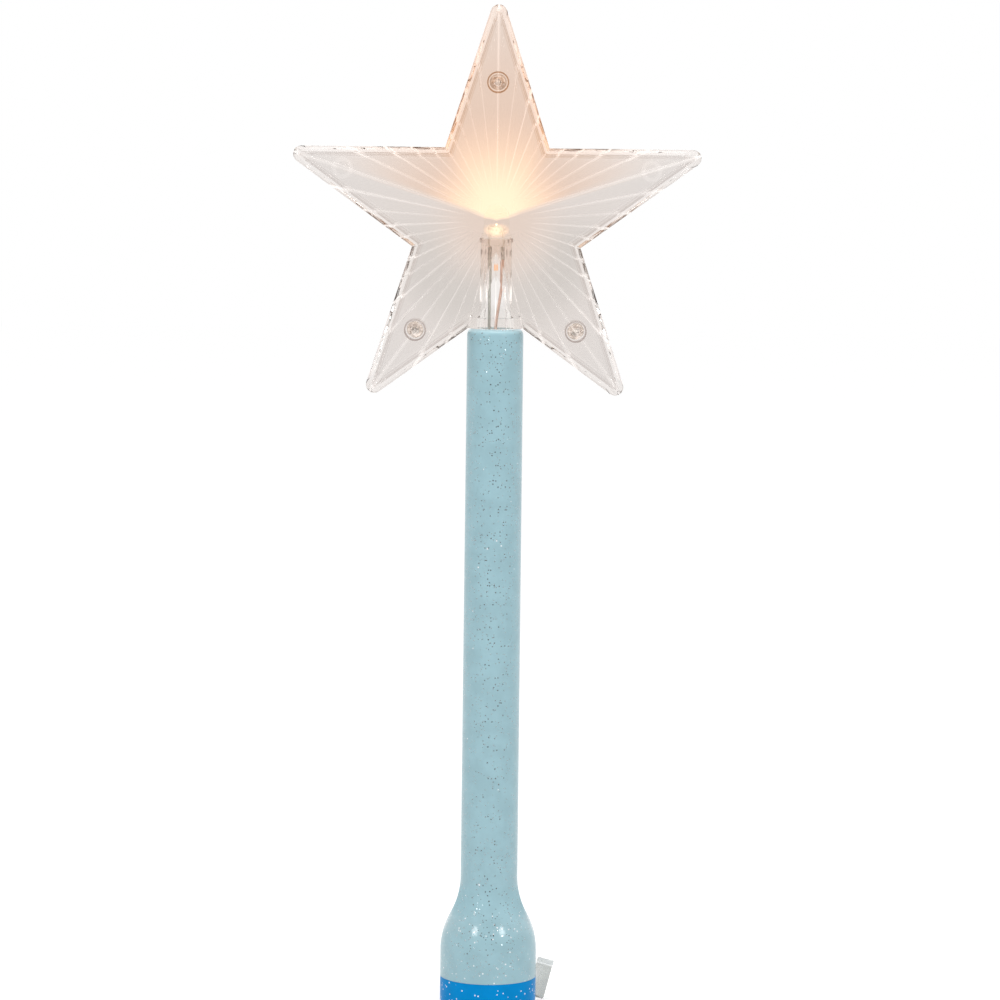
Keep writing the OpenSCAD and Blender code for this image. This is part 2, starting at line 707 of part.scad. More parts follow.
module power_button() {
    lip_foot = button_seat - button_lip_t;
    color(strong_blue) translate([0, 0, button_z]) rotate([-90, 0, 0]) {
        rotate_extrude() polygon(concat([[0, lip_foot], [button_lip_r, lip_foot], [button_lip_r, button_seat],
            [button_r, button_seat]], edge_arc(button_r, button_face, button_round, 1), [[0, button_face]]));
        translate([0, 0, plunger_top]) cylinder(r = plunger_r, h = lip_foot - plunger_top);
    }
}

module battery_door() {
    head_seat = small_head_h + 2 * fit;
    color(strong_blue) difference() {
        translate([0, 0, door_recess]) cylinder(r = door_r - run, h = door_t);
        at_door_screw() {
            translate([0, 0, door_recess - cut]) cylinder(r = small_screw_r + fit, h = door_t + 2 * cut);
            translate([0, 0, door_recess - cut]) cylinder(r = door_screw_head_r + fit, h = head_seat + cut);
        }
    }
}

module door_screw() {
    head_seat = door_recess + small_head_h + 2 * fit;
    color(steel) at_door_screw() translate([0, 0, head_seat]) mirror([0, 0, 1])
        screw(small_screw_r, door_top + floor_t - head_seat - 2 * run, door_screw_head_r, small_head_h);
}

// Side view of the tab: flat inside the cap, then bent up and leaning out, with its end folded back
module tab_side() {
    centre = [tab_out, tab_z + tab_t + tab_bend_r];
    outer_r = tab_bend_r + tab_t;
    lean = [cos(tab_turn), sin(tab_turn)];
    out = [sin(tab_turn), -cos(tab_turn)];
    outer_end = centre + outer_r * out;
    inner_end = centre + tab_bend_r * out;
    function bend(r) = [for (i = [0 : bend_steps]) let (a = tab_turn * i / bend_steps)
        centre + r * [sin(a), -cos(a)]];
    polygon(concat([[tab_in, tab_z]], bend(outer_r),
        [outer_end + (tab_leg - tab_fold) * lean, outer_end + (tab_leg - tab_fold) * lean + tab_t * out,
            outer_end + tab_leg * lean + tab_t * out, inner_end + tab_leg * lean],
        reversed(bend(tab_bend_r)), [[tab_in, tab_z + tab_t]]));
}

module pull_tab() {
    color([0.85, 0.85, 0.86, 0.5]) rotate(tab_angle) rotate([90, 0, 0])
        linear_extrude(height = tab_w, center = true) tab_side();
}

star_front();
star_rear();
star_screws();
lamp_holder();
lamp_lens();
lamp_chip();
lamp_leads();
lead_sleeves();
wire_red();
wire_black();
wand_shaft();
end_cap();
battery_holder();
holder_screws();
cell_lower();
cell_middle();
cell_upper();
contact_positive();
contact_negative();
contact_strap();
circuit_board();
board_screws();
control_chip();
switch_body();
switch_plunger();
power_button();
battery_door();
door_screw();
pull_tab();
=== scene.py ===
# %% [markdown]
# A toy wand, dressed in Blender. The wand is a clear ribbed star with a lit lamp in it, on a pale glitter
# shaft that ends in a blue cap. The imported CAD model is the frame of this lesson: it fixes every place and
# size. Each step below says what a piece or finish is on the real object, how it could be made, and why it
# is made this way.

# %% Load the frame
import math

import bmesh
import bpy
from mathutils import Matrix, Vector, noise


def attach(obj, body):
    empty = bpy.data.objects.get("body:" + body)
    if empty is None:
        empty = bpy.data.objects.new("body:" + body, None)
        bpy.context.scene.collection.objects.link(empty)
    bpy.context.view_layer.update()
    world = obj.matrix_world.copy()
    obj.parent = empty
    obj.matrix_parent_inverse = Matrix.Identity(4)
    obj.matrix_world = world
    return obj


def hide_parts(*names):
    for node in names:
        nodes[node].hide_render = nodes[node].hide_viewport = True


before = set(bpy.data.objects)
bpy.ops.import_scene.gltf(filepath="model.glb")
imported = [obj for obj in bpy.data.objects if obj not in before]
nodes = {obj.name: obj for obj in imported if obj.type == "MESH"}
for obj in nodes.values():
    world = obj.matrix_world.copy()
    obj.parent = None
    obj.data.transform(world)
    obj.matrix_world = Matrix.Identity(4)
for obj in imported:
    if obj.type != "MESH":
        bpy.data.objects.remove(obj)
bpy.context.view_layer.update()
MM = 0.001

# %% [markdown]
# The camera comes first, because everything is judged through it. The photograph was taken from well away
# with a long lens, a little above the star, and the wand leans slightly to the right in it. So the camera
# has a long focal length, looks down by a few degrees and is rolled by less than one.

# %% Camera
IMAGE_PX = 1000
FOCAL_PX = 4103
SENSOR_MM = 36
CAMERA_PLACE = (0.0009, -1.310, 0.292)
PITCH_YAW_ROLL = (5.523, 0.054, 0.673)
photo_camera = bpy.data.objects.new("photo_camera", bpy.data.cameras.new("photo_camera"))
photo_camera.data.sensor_width = SENSOR_MM
photo_camera.data.lens = SENSOR_MM * FOCAL_PX / IMAGE_PX
pitch, yaw, roll = (math.radians(angle) for angle in PITCH_YAW_ROLL)
aim = (Matrix.Rotation(-yaw, 4, "Z") @ Matrix.Rotation(math.pi / 2 - pitch, 4, "X")
       @ Matrix.Rotation(roll, 4, "Z"))
photo_camera.matrix_world = Matrix.Translation(CAMERA_PLACE) @ aim
scene = bpy.context.scene
scene.collection.objects.link(photo_camera)
scene.camera = photo_camera
scene.view_settings.view_transform = "Standard"
print("camera: lens", round(photo_camera.data.lens, 1), "mm")

# %% [markdown]
# Materials are small networks of nodes. A few helpers keep the later cells short: one adds a node, and the
# others do arithmetic on sockets or numbers. Masks are numbers from 0 to 1, so they are combined by
# multiplying, by taking the larger, or by turning one over.

# %% Node helpers
def new_finish(name):
    material = bpy.data.materials.new(name)
    material.use_nodes = True
    return material, material.node_tree, material.node_tree.nodes["Principled BSDF"]


def feed(tree, socket, value):
    if isinstance(value, bpy.types.NodeSocket):
        tree.links.new(value, socket)
    else:
        socket.default_value = value


def add_node(tree, kind, inputs=None, **settings):
    node = tree.nodes.new("ShaderNode" + kind)
    for key, value in settings.items():
        setattr(node, key, value)
    for key, value in (inputs or {}).items():
        feed(tree, node.inputs[key], value)
    return node


def calc(tree, operation, first, second=0.0, third=0.0):
    return add_node(tree, "Math", {0: first, 1: second, 2: third}, operation=operation).outputs[0]


def times(tree, first, second):
    return calc(tree, "MULTIPLY", first, second)


def larger(tree, first, second):
    return calc(tree, "MAXIMUM", first, second)


def without(tree, mask):
    return calc(tree, "SUBTRACT", 1.0, mask)


def plus_times(tree, base, value, factor):
    """The base, with a value times a factor added to it."""
    return calc(tree, "MULTIPLY_ADD", value, factor, base)


def distance(tree, first, second):
    """The length of a line whose two parts at right angles are given."""
    return calc(tree, "SQRT", calc(tree, "ADD", times(tree, first, first), times(tree, second, second)))


print("node helpers ready")

# %% [markdown]
# More helpers mix two colours, map a range of numbers to another, and give the place on a piece, noise at
# that place, and bumps. Colours are written as a screen shows them where they were judged on a screen.

# %% Colour and pattern helpers
def mix_colour(tree, factor, first, second):
    node = add_node(tree, "Mix", {0: factor, 6: first, 7: second}, data_type="RGBA")
    return node.outputs[2]


def remap(tree, value, low, high, to_low=0.0, to_high=1.0, curve="SMOOTHSTEP"):
    node = add_node(tree, "MapRange", {0: value, 1: low, 2: high, 3: to_low, 4: to_high},
                    interpolation_type=curve)
    return node.outputs[0]


def object_point(tree):
    return add_node(tree, "TexCoord").outputs["Object"]


def object_parts(tree):
    """The place on the piece in metres, as its three parts."""
    return add_node(tree, "SeparateXYZ", {0: object_point(tree)}).outputs


def noise_value(tree, scale, detail=2.0, roughness=0.5):
    node = add_node(tree, "TexNoise", {"Vector": object_point(tree), "Scale": scale, "Detail": detail,
                                       "Roughness": roughness})
    return node.outputs["Fac"]


def bump(tree, height, depth, strength):
    node = add_node(tree, "Bump", {"Height": height, "Distance": depth, "Strength": strength})
    return node.outputs["Normal"]


def rgb(red, green, blue):
    """A colour as a screen shows it, 0 to 255, turned into the linear numbers that a shader needs."""
    def linear(part):
        part /= 255
        return part / 12.92 if part <= 0.04045 else ((part + 0.055) / 1.055) ** 2.4
    return (linear(red), linear(green), linear(blue), 1.0)


def shade(colour, factor):
    return [factor * part for part in colour[:3]] + [1]


def band(tree, value, centre, half):
    """A soft line where a value is near its centre."""
    return remap(tree, calc(tree, "ABSOLUTE", calc(tree, "SUBTRACT", value, centre)), half, 0.25 * half)


print("colour and pattern helpers ready")

# %% [markdown]
# The studio is plain: a pale floor, soft light from all round, two soft boxes at the front left and front
# right, and one above. Their reflections are the glints on the bell's shoulder and the shaft's lip. The
# background is white because the world and the floor look white to the camera, and to rays that go through
# the clear star. What the gloss mirrors is white behind the wand and darker on the camera's side, as in a
# real studio, so the colours stay deep in the middle and pale bands run along both edges of the shaft.

# %% Studio
AMBIENT = 0.62
FRONT_GLOSS = 0.15
LAMP_AIM = (0, 0, 0.12)
SKY_FADE = (-0.75, 0.1)
world = bpy.data.worlds.new("studio")
scene.world = world
world.use_nodes = True
sky = world.node_tree


def seen_level(tree, depth, near, far, plain):
    """A strength of 1 for rays from the camera and through clear plastic; a mirrored ray sees the front side
    darker; any other ray gets the plain level."""
    path = add_node(tree, "LightPath")
    direct = larger(tree, path.outputs["Is Camera Ray"], path.outputs["Is Transmission Ray"])
    mirrored = remap(tree, depth, near, far, FRONT_GLOSS, 1.0)
    glossy = times(tree, path.outputs["Is Glossy Ray"], without(tree, direct))
    rest = without(tree, larger(tree, direct, path.outputs["Is Glossy Ray"]))
    return plus_times(tree, plus_times(tree, direct, glossy, mirrored), rest, plain)


heading = add_node(sky, "SeparateXYZ", {0: add_node(sky, "TexCoord").outputs["Generated"]})
backdrop = sky.nodes["Background"]
backdrop.inputs["Color"].default_value = (1, 1, 1, 1)
feed(sky, backdrop.inputs["Strength"], seen_level(sky, heading.outputs[1], *SKY_FADE, AMBIENT))


def soft_box(name, place, size, watts):
    light = bpy.data.lights.new(name, "AREA")
    light.shape = "DISK"
    light.size = size
    light.energy = watts
    lamp = bpy.data.objects.new(name, light)
    direction = Vector(LAMP_AIM) - Vector(place)
    lamp.matrix_world = Matrix.Translation(place) @ direction.to_track_quat("-Z", "Y").to_matrix().to_4x4()
    scene.collection.objects.link(lamp)


soft_box("left_box", (-0.72, -0.92, 0.62), 0.34, 2.4)
soft_box("right_box", (0.72, -0.92, 0.62), 0.34, 2.4)
soft_box("top_box", (0, -0.30, 1.25), 0.6, 2.5)
print("studio: world and three soft boxes")

# %% [markdown]
# The floor is a plain matt sheet a hair below the wand's foot. To the camera it glows by half, so that it
# comes out as white as the backdrop and still shows the wand's shadow.

# %% Floor
FLOOR_LIFT = 0.5
FLOOR_SIZE = 4.0
FLOOR_Z = -0.0003
FLOOR_FADE = (-0.25, 0.15)
bm = bmesh.new()
bmesh.ops.create_grid(bm, x_segments=1, y_segments=1, size=FLOOR_SIZE,
                      matrix=Matrix.Translation((0, 0, FLOOR_Z)))
floor_mesh = bpy.data.meshes.new("floor")
bm.to_mesh(floor_mesh)
bm.free()
floor = bpy.data.objects.new("floor", floor_mesh)
scene.collection.objects.link(floor)
pale_floor, tree, shader = new_finish("pale_floor")
shader.inputs["Base Color"].default_value = (0.8, 0.8, 0.8, 1)
shader.inputs["Roughness"].default_value = 0.9
shader.inputs["Specular IOR Level"].default_value = 0.0
shader.inputs["Emission Color"].default_value = (1, 1, 1, 1)
lift = times(tree, seen_level(tree, object_parts(tree)[1], *FLOOR_FADE, 0.0), FLOOR_LIFT)
feed(tree, shader.inputs["Emission Strength"], lift)
floor_mesh.materials.append(pale_floor)
print("floor ready")

# %% [markdown]
# The shaft and the cap are moulded in plastic with fine glitter in it. Each flake is a tiny piece of foil
# that lies nearly flat under the skin and mirrors whatever it faces: over most of the pale shaft that is
# dark, and on the bell and on the blue cap it is often white. The dark flakes are metal that mirrors, but the
# white ones are painted sparkle, a plain white that stands in for the bright things they would mirror. A
# picture of flakes would be flat, so the flakes come from a Voronoi pattern in space: a cell near the surface
# shows as one fleck, with its own tilt, so the soft boxes break up into sparkles as they do on real glitter.

# %% Glitter flakes
DARK_FLAKES = (1.02, 0.35, 0.0)
WHITE_FLAKES = (1.45, 0.4, 0.37)
# The white flakes' colour is painted sparkle.
FOIL_DARK, SPARKLE_WHITE = (0.42, 0.50, 0.53, 1), (0.93, 0.95, 0.97, 1)
FOIL_TILT = 0.24


def flecks(tree, spacing_mm, fleck_mm, shift):
    """A mask of small square flakes, three random numbers for each flake, and the same three as a vector."""
    place = add_node(tree, "VectorMath", {0: object_point(tree), 1: (shift, shift, shift)}, operation="ADD")
    cells = add_node(tree, "TexVoronoi", {"Vector": place.outputs[0], "Scale": 1000 / spacing_mm},
                     distance="CHEBYCHEV")
    chance = add_node(tree, "SeparateColor", {0: cells.outputs["Color"]})
    part = fleck_mm / spacing_mm
    reach = remap(tree, chance.outputs[2], 0, 1, 0.35 * part, 0.6 * part, "LINEAR")
    return calc(tree, "LESS_THAN", cells.outputs["Distance"], reach), chance.outputs, cells.outputs["Color"]


def tilted(tree, normal, chance, share):
    """Leans a normal in a random direction, by as much as the share allows."""
    away = add_node(tree, "VectorMath", {0: chance, 1: (0.5, 0.5, 0.5)}, operation="SUBTRACT").outputs[0]
    lean = add_node(tree, "VectorMath", {0: away, "Scale": share}, operation="SCALE").outputs[0]
    leaning = add_node(tree, "VectorMath", {0: normal, 1: lean}, operation="ADD").outputs[0]
    return add_node(tree, "VectorMath", {0: leaning}, operation="NORMALIZE").outputs[0]


print("flake helpers ready")

# %% [markdown]
# The gloss differs along the shaft. The bell's shoulder has a strong clear coat and a band of extra white
# flakes, painted sparkle round the two soft boxes' reflections, which show as a pair of broken glints. The
# hollow of the flare above it would mirror them a second time, so the skin is duller there. The lip at the
# top has a painted pale glow, which stands in for light from the star gathering there.

# %% Glitter finishes
# The shoulder's half width is that of its band of painted sparkle round the glints.
SHOULDER_Z, SHOULDER_SPARKLE, SHOULDER_GLOSS = 0.0285, 0.006, 0.004
FLARE_Z, FLARE_HALF = 0.036, 0.0065
# The lip's span and strength are those of a painted pale glow.
LIP_Z, LIP_PAINTED_GLOW = (0.2188, 0.2203), 0.3
SKIN_ROUGH, DULL_ROUGH, FOIL_ROUGH = 0.32, 0.3, -0.08
SKIN_BUMP = 0.00002


def glitter_plastic(name, colour, dark_share, white_share, white_below, gloss):
    """Plastic with foil flakes in it. The share of white flakes grows below a height, given in mm."""
    material, tree, shader = new_finish(name)
    height = object_parts(tree)[2]
    flake, chance, lean = flecks(tree, *DARK_FLAKES)
    dark = times(tree, flake, calc(tree, "LESS_THAN", chance[0], dark_share))
    spark, luck, _ = flecks(tree, *WHITE_FLAKES)
    few, many = 0.04 * white_share, white_share
    low = remap(tree, height, (white_below + 14) * MM, (white_below - 6) * MM, few, many)
    # Painted sparkle: more white flakes in a band round the shoulder, where the glints are.
    share = larger(tree, low, band(tree, height, SHOULDER_Z, SHOULDER_SPARKLE))
    white = times(tree, spark, calc(tree, "LESS_THAN", luck[0], share))
    cloud = remap(tree, noise_value(tree, 160, 3), 0.35, 0.65)
    skin = mix_colour(tree, cloud, shade(colour, 0.96), shade(colour, 1.04))
    foil = mix_colour(tree, dark, skin, FOIL_DARK)
    # The white flakes are painted sparkle: plain white that stands in for what the foil mirrors.
    feed(tree, shader.inputs["Base Color"], mix_colour(tree, white, foil, SPARKLE_WHITE))
    feed(tree, shader.inputs["Metallic"], times(tree, dark, 0.92))
    calm = band(tree, height, FLARE_Z, FLARE_HALF)
    rough = plus_times(tree, SKIN_ROUGH, times(tree, calm, without(tree, dark)), DULL_ROUGH)
    feed(tree, shader.inputs["Roughness"], plus_times(tree, rough, dark, FOIL_ROUGH))
    skin_normal = bump(tree, noise_value(tree, 900, 2), SKIN_BUMP, 0.6)
    feed(tree, shader.inputs["Normal"], tilted(tree, skin_normal, lean, times(tree, dark, FOIL_TILT)))
    shader.inputs["IOR"].default_value = 1.45
    # Painted light: a pale glow on the lip at the top of the shaft.
    shader.inputs["Emission Color"].default_value = (0.78, 0.94, 1.0, 1)
    feed(tree, shader.inputs["Emission Strength"], times(tree, remap(tree, height, *LIP_Z), LIP_PAINTED_GLOW))
    shader.inputs["Specular IOR Level"].default_value = gloss
    coat = plus_times(tree, 0.7 * gloss, calm, -0.7 * gloss)
    glints = band(tree, height, SHOULDER_Z, SHOULDER_GLOSS)
    feed(tree, shader.inputs["Coat Weight"], plus_times(tree, coat, glints, 1.4 * gloss))
    shader.inputs["Coat Roughness"].default_value = 0.09
    return material


pale_glitter = glitter_plastic("pale_glitter", rgb(163, 200, 210), 0.95, 0.6, 16, 0.4)
blue_glitter = glitter_plastic("blue_glitter", rgb(0, 142, 214), 0.0, 0.85, 30, 0.05)
print("glitter finishes:", pale_glitter.name, blue_glitter.name)

# %% [markdown]
# The star is clear plastic, so its look is mostly what it lets through. It takes a little light at each of
# its skins, and that greys it slightly against white. The lamp's light in it is painted on: the ribs and the
# rim show it as fine pale lines, and a painted glow is nearly white by the lamp, orange further out, runs far
# up the top arm and stops at the ridges of the two side arms. All this is worked out from the place on the
# star, as a distance and a direction from its centre and a depth from its edge, so it holds from every side.

# %% Places on the star
STAR_Z = 0.255
RIB_STEP, ARM_STEP = 7.2, 72.0
EDGE_NORMAL, NOTCH_U, NOTCH_V, STAR_REACH = (0.3082, 0.9513), 22.895, 16.634, 68.2
BOSS_REACH, PEG_REACH = 43.6, 51.7


def star_polar(tree):
    """Distance from the star's centre in mm, and the angle from straight up in degrees, with its sign."""
    place = object_parts(tree)
    across = times(tree, place[0], 1000)
    up = times(tree, calc(tree, "SUBTRACT", place[2], STAR_Z), 1000)
    return distance(tree, across, up), calc(tree, "DEGREES", calc(tree, "ARCTAN2", across, up))


def star_edge(tree, span, turned):
    """Place on the nearest arm (along, across) and the depth from the star's edge, all in mm."""
    folded = calc(tree, "PINGPONG", calc(tree, "ABSOLUTE", turned), ARM_STEP / 2)
    angle = calc(tree, "RADIANS", folded)
    along = times(tree, span, calc(tree, "COSINE", angle))
    across = times(tree, span, calc(tree, "SINE", angle))
    slant = calc(tree, "ADD", times(tree, calc(tree, "SUBTRACT", NOTCH_U, along), EDGE_NORMAL[0]),
                 times(tree, calc(tree, "SUBTRACT", NOTCH_V, across), EDGE_NORMAL[1]))
    return along, across, calc(tree, "MINIMUM", slant, calc(tree, "SUBTRACT", STAR_REACH, along))


def neck_place(tree):
    """Distance to the side, distance from the axis, and height, all in mm."""
    place = object_parts(tree)
    side = calc(tree, "ABSOLUTE", times(tree, place[0], 1000))
    deep = calc(tree, "ABSOLUTE", times(tree, place[1], 1000))
    return side, distance(tree, side, deep), times(tree, place[2], 1000)


print("star places ready")

# %% [markdown]
# The painted glow is told by two masks. The core is the bright patch round the lamp. The glow mask is the
# wide orange light, which reaches far up the top arm and is weak below the ridges of the side arms. The
# plastic is painted a little lighter above those ridges and warm under the glow. A third mask is painted
# shade, which darkens the middle of the lower arms.

# %% Glow of the star
# Distances from the centre are in mm, and angles from straight up are in degrees
RIDGE_SPAN, RIDGE_ANGLE, RIDGE_SOFT = (2, 9), (86, 75.5), (80.2, -0.16)
TOP_ARM, BELOW_SPAN, BELOW_LEVEL = (46, 24), (26, 5), (0.16, 0.55)
GLOW_REACH, GLOW_TOP, GLOW_FADE = 62, 48, (1.0, 0.15)
CORE_REACH, CORE_TOP, CORE_FULL = 27, 10, 5
# These three place the painted shade on the lower arms.
DIM_NEAR, DIM_FAR, DIM_ANGLE = (12, 24), (43, 27), (74, 112)
# The higher grey is lighter above the ridges as painted light, and the warm tint is the painted glow's.
GREY_LOW, GREY_HIGH = (0.868, 0.842, 0.826, 1), (0.902, 0.874, 0.856, 1)
GREY_PAINTED_SHADE, WARM = (0.80, 0.785, 0.77, 1), (0.84, 0.745, 0.68, 1)


def star_glow(tree, span, angle):
    """The masks of the painted core and of the painted glow, and the tint of the plastic, with painted light
    and painted shade in it.
    """
    # Painted light: the core and the glow fall off with the distance and direction from the lamp.
    ridge = remap(tree, span, *RIDGE_SPAN, *RIDGE_ANGLE)
    above_arms = remap(tree, angle, ridge, plus_times(tree, RIDGE_SOFT[0], ridge, RIDGE_SOFT[1]))
    top_arm = remap(tree, angle, *TOP_ARM)
    reach = plus_times(tree, GLOW_REACH, top_arm, GLOW_TOP)
    near = remap(tree, calc(tree, "DIVIDE", span, reach), *GLOW_FADE)
    below = remap(tree, span, *BELOW_SPAN, *BELOW_LEVEL)
    painted_glow = times(tree, near, larger(tree, above_arms, below))
    core_reach = plus_times(tree, CORE_REACH, top_arm, CORE_TOP)
    core = times(tree, remap(tree, span, core_reach, CORE_FULL), above_arms)
    cloud = remap(tree, noise_value(tree, 34, 2), 0.35, 0.65)
    # Painted shade: darker in the middle of the lower arms.
    dim = times(tree, remap(tree, span, *DIM_NEAR), remap(tree, span, *DIM_FAR))
    dim = times(tree, dim, remap(tree, angle, *DIM_ANGLE))
    # Painted light makes the grey lighter above the side arms' ridges, and the painted glow warms it.
    grey = mix_colour(tree, above_arms, GREY_LOW, GREY_HIGH)
    grey = mix_colour(tree, times(tree, dim, plus_times(tree, 0.7, cloud, 0.3)), grey, GREY_PAINTED_SHADE)
    return core, painted_glow, mix_colour(tree, painted_glow, grey, WARM)


print("glow helper ready")

# %% [markdown]
# Screws and pegs show through the plastic. A screw's boss is painted with a dark ring of shade round a disc
# of painted light, with bright patches of painted highlight and dark specks of painted shade on its metal,
# and the bosses of the pegs in the side arms, which have no screw, are rings of painted pale light.

# %% Bosses of the star
# A line is its radius and half its width, in mm
BOSS_RING, SCREW_RING, PEG_RING = (3.2, 0.4), (1.5, 0.3), (2.7, 1.0)
BOSS_DISC, PATCH_DISC, SPECK_DISC = (3.2, 2.4), (2.5, 1.8), (1.3, 0.8)
SIDE_ARM_TOP, SIDE_ARM_FOOT = (34, 37), (110, 107)
# These are the strengths of painted light on the bosses.
DISC_LIGHT, PATCH_LIGHT, PEG_LIGHT = 0.022, 0.16, 0.015


def boss_marks(tree, angle, along, across):
    """Masks of the painted dark rings and specks of shade, and the painted pale light of the bosses."""
    boss = distance(tree, calc(tree, "SUBTRACT", along, BOSS_REACH), across)
    peg = distance(tree, calc(tree, "SUBTRACT", along, PEG_REACH), across)
    side_arms = times(tree, remap(tree, angle, *SIDE_ARM_TOP, 0, 1, "LINEAR"),
                      remap(tree, angle, *SIDE_ARM_FOOT, 0, 1, "LINEAR"))
    screwed = without(tree, side_arms)
    # Painted shade: dark rings round the screw bosses.
    shade_rings = larger(tree, band(tree, boss, *BOSS_RING), times(tree, band(tree, boss, *SCREW_RING), 0.5))
    # Painted shade: dark specks on the screw's disc.
    shade_specks = times(tree, remap(tree, boss, *SPECK_DISC), remap(tree, noise_value(tree, 1300, 1), 0.44, 0.56))
    # Painted highlights: bright patches on the screw's disc.
    patches = times(tree, remap(tree, boss, *PATCH_DISC), remap(tree, noise_value(tree, 620, 1), 0.52, 0.62))
    # Painted light: the disc and the pegs' pale rings.
    light = times(tree, remap(tree, boss, *BOSS_DISC), DISC_LIGHT)
    light = times(tree, plus_times(tree, light, patches, PATCH_LIGHT), screwed)
    peg_ring = times(tree, band(tree, peg, *PEG_RING), side_arms)
    light = plus_times(tree, light, peg_ring, PEG_LIGHT)
    return times(tree, shade_rings, screwed), times(tree, shade_specks, screwed), light


print("boss helper ready")

# %% [markdown]
# The ribs and the rim catch the lamp's light as pale lines, which are painted light, each rib by a different
# amount. The neck is a clear tube with painted shadow in two gaps at the top of each wall and a bright bar of
# painted highlight below them.

# %% Ribs and neck of the star
RIB_LINE, RIB_START, RIM_DEPTH, EDGE_DEPTH = (0.55, 0.12), (8, 16), (2.6, 2.1), (3.0, 2.2)
# These are the strengths of painted light on the ribs, the rim and the neck's bars.
RIB_LIGHT, RIM_LIGHT, BAR_LIGHT = 0.05, 0.014, 0.34
NECK_R, NECK_END, NECK_WALL = (5.25, 5.15), (249.6, 249.2), (4.9, 0.8)
# The two gaps place painted shadow, and the bar a painted highlight, in mm.
LOW_GAP, HIGH_GAP, BAR, TUBE_Z = (244.8, 1.6), (248.6, 1.0), (231.5, 3.6), (226, 230)
TUBE_LOW, TUBE_HIGH = (0.86, 0.845, 0.83, 1), (0.935, 0.922, 0.91, 1)


def rib_light(tree, span, turned, depth, lines):
    """The painted pale light of the ribs and of the rim."""
    step = calc(tree, "DIVIDE", turned, RIB_STEP)
    off_rib = times(tree, calc(tree, "PINGPONG", step, 0.5), RIB_STEP)
    number = add_node(tree, "TexWhiteNoise", {"W": calc(tree, "ROUND", step)}, noise_dimensions="1D")
    rib = times(tree, remap(tree, off_rib, *RIB_LINE), remap(tree, span, *RIB_START))
    rib = times(tree, rib, plus_times(tree, 0.35, number.outputs["Value"], 0.8))
    edge_lift = plus_times(tree, 1.0, remap(tree, depth, *EDGE_DEPTH), 1.2)
    rim = times(tree, remap(tree, depth, *RIM_DEPTH), without(tree, lines))
    return plus_times(tree, times(tree, times(tree, rib, edge_lift), RIB_LIGHT), rim, RIM_LIGHT)


def neck_marks(tree, side, radius, height):
    """Masks of the neck, of the painted shadow in its gaps and of its painted bright bars, and the tint of
    its tube.
    """
    neck = times(tree, remap(tree, radius, *NECK_R), remap(tree, height, *NECK_END))
    tube = mix_colour(tree, remap(tree, height, *TUBE_Z), TUBE_LOW, TUBE_HIGH)
    wall = times(tree, band(tree, side, *NECK_WALL), neck)
    # Painted shadow in two gaps at the top of each wall; the bar below them is a painted highlight.
    gap_shadows = larger(tree, band(tree, height, *LOW_GAP), band(tree, height, *HIGH_GAP))
    gap_shadows = times(tree, times(tree, gap_shadows, wall), remap(tree, noise_value(tree, 700), 0.42, 0.5))
    return neck, gap_shadows, times(tree, wall, band(tree, height, *BAR)), tube


print("rib and neck helpers ready")

# %% [markdown]
# The finish brings the masks together. The rim is paler than the plastic inside it, as painted light, with a
# fine dark line of painted shade along each side, but not where the collar of the neck meets the shaft.

# %% Clear star finish
CLEAR_RIM, RIM_LINE, EDGE_LINE = (2.3, 1.9, 0.0, 0.4), (2.4, 0.2), (0.3, 0.3)
COLLAR_SIDE, COLLAR_TOP = (9, 11), (236, 240)
# The warm rim and mark colours are the painted glow on the rim and on the dark lines.
RIM_CLEAR, RIM_WARM = (0.965, 0.95, 0.94, 1), (0.95, 0.84, 0.77, 1)
# The mark colour is that of the painted shade lines and rings, and the dark one that of painted shadow and
# specks.
MARK, MARK_WARM, MARK_DARK = (0.62, 0.57, 0.55, 1), (0.56, 0.36, 0.22, 1), (0.3, 0.28, 0.28, 1)
FLAME_FAR, FLAME_NEAR, LIT_WHITE = (1.0, 0.44, 0.15, 1), (1.0, 0.82, 0.46, 1), (1.0, 0.97, 0.95, 1)
CORE_LIGHT, WARM_LIGHT, NO_LIGHT = 0.12, 0.03, 0.0001
STAR_IOR = 1.14


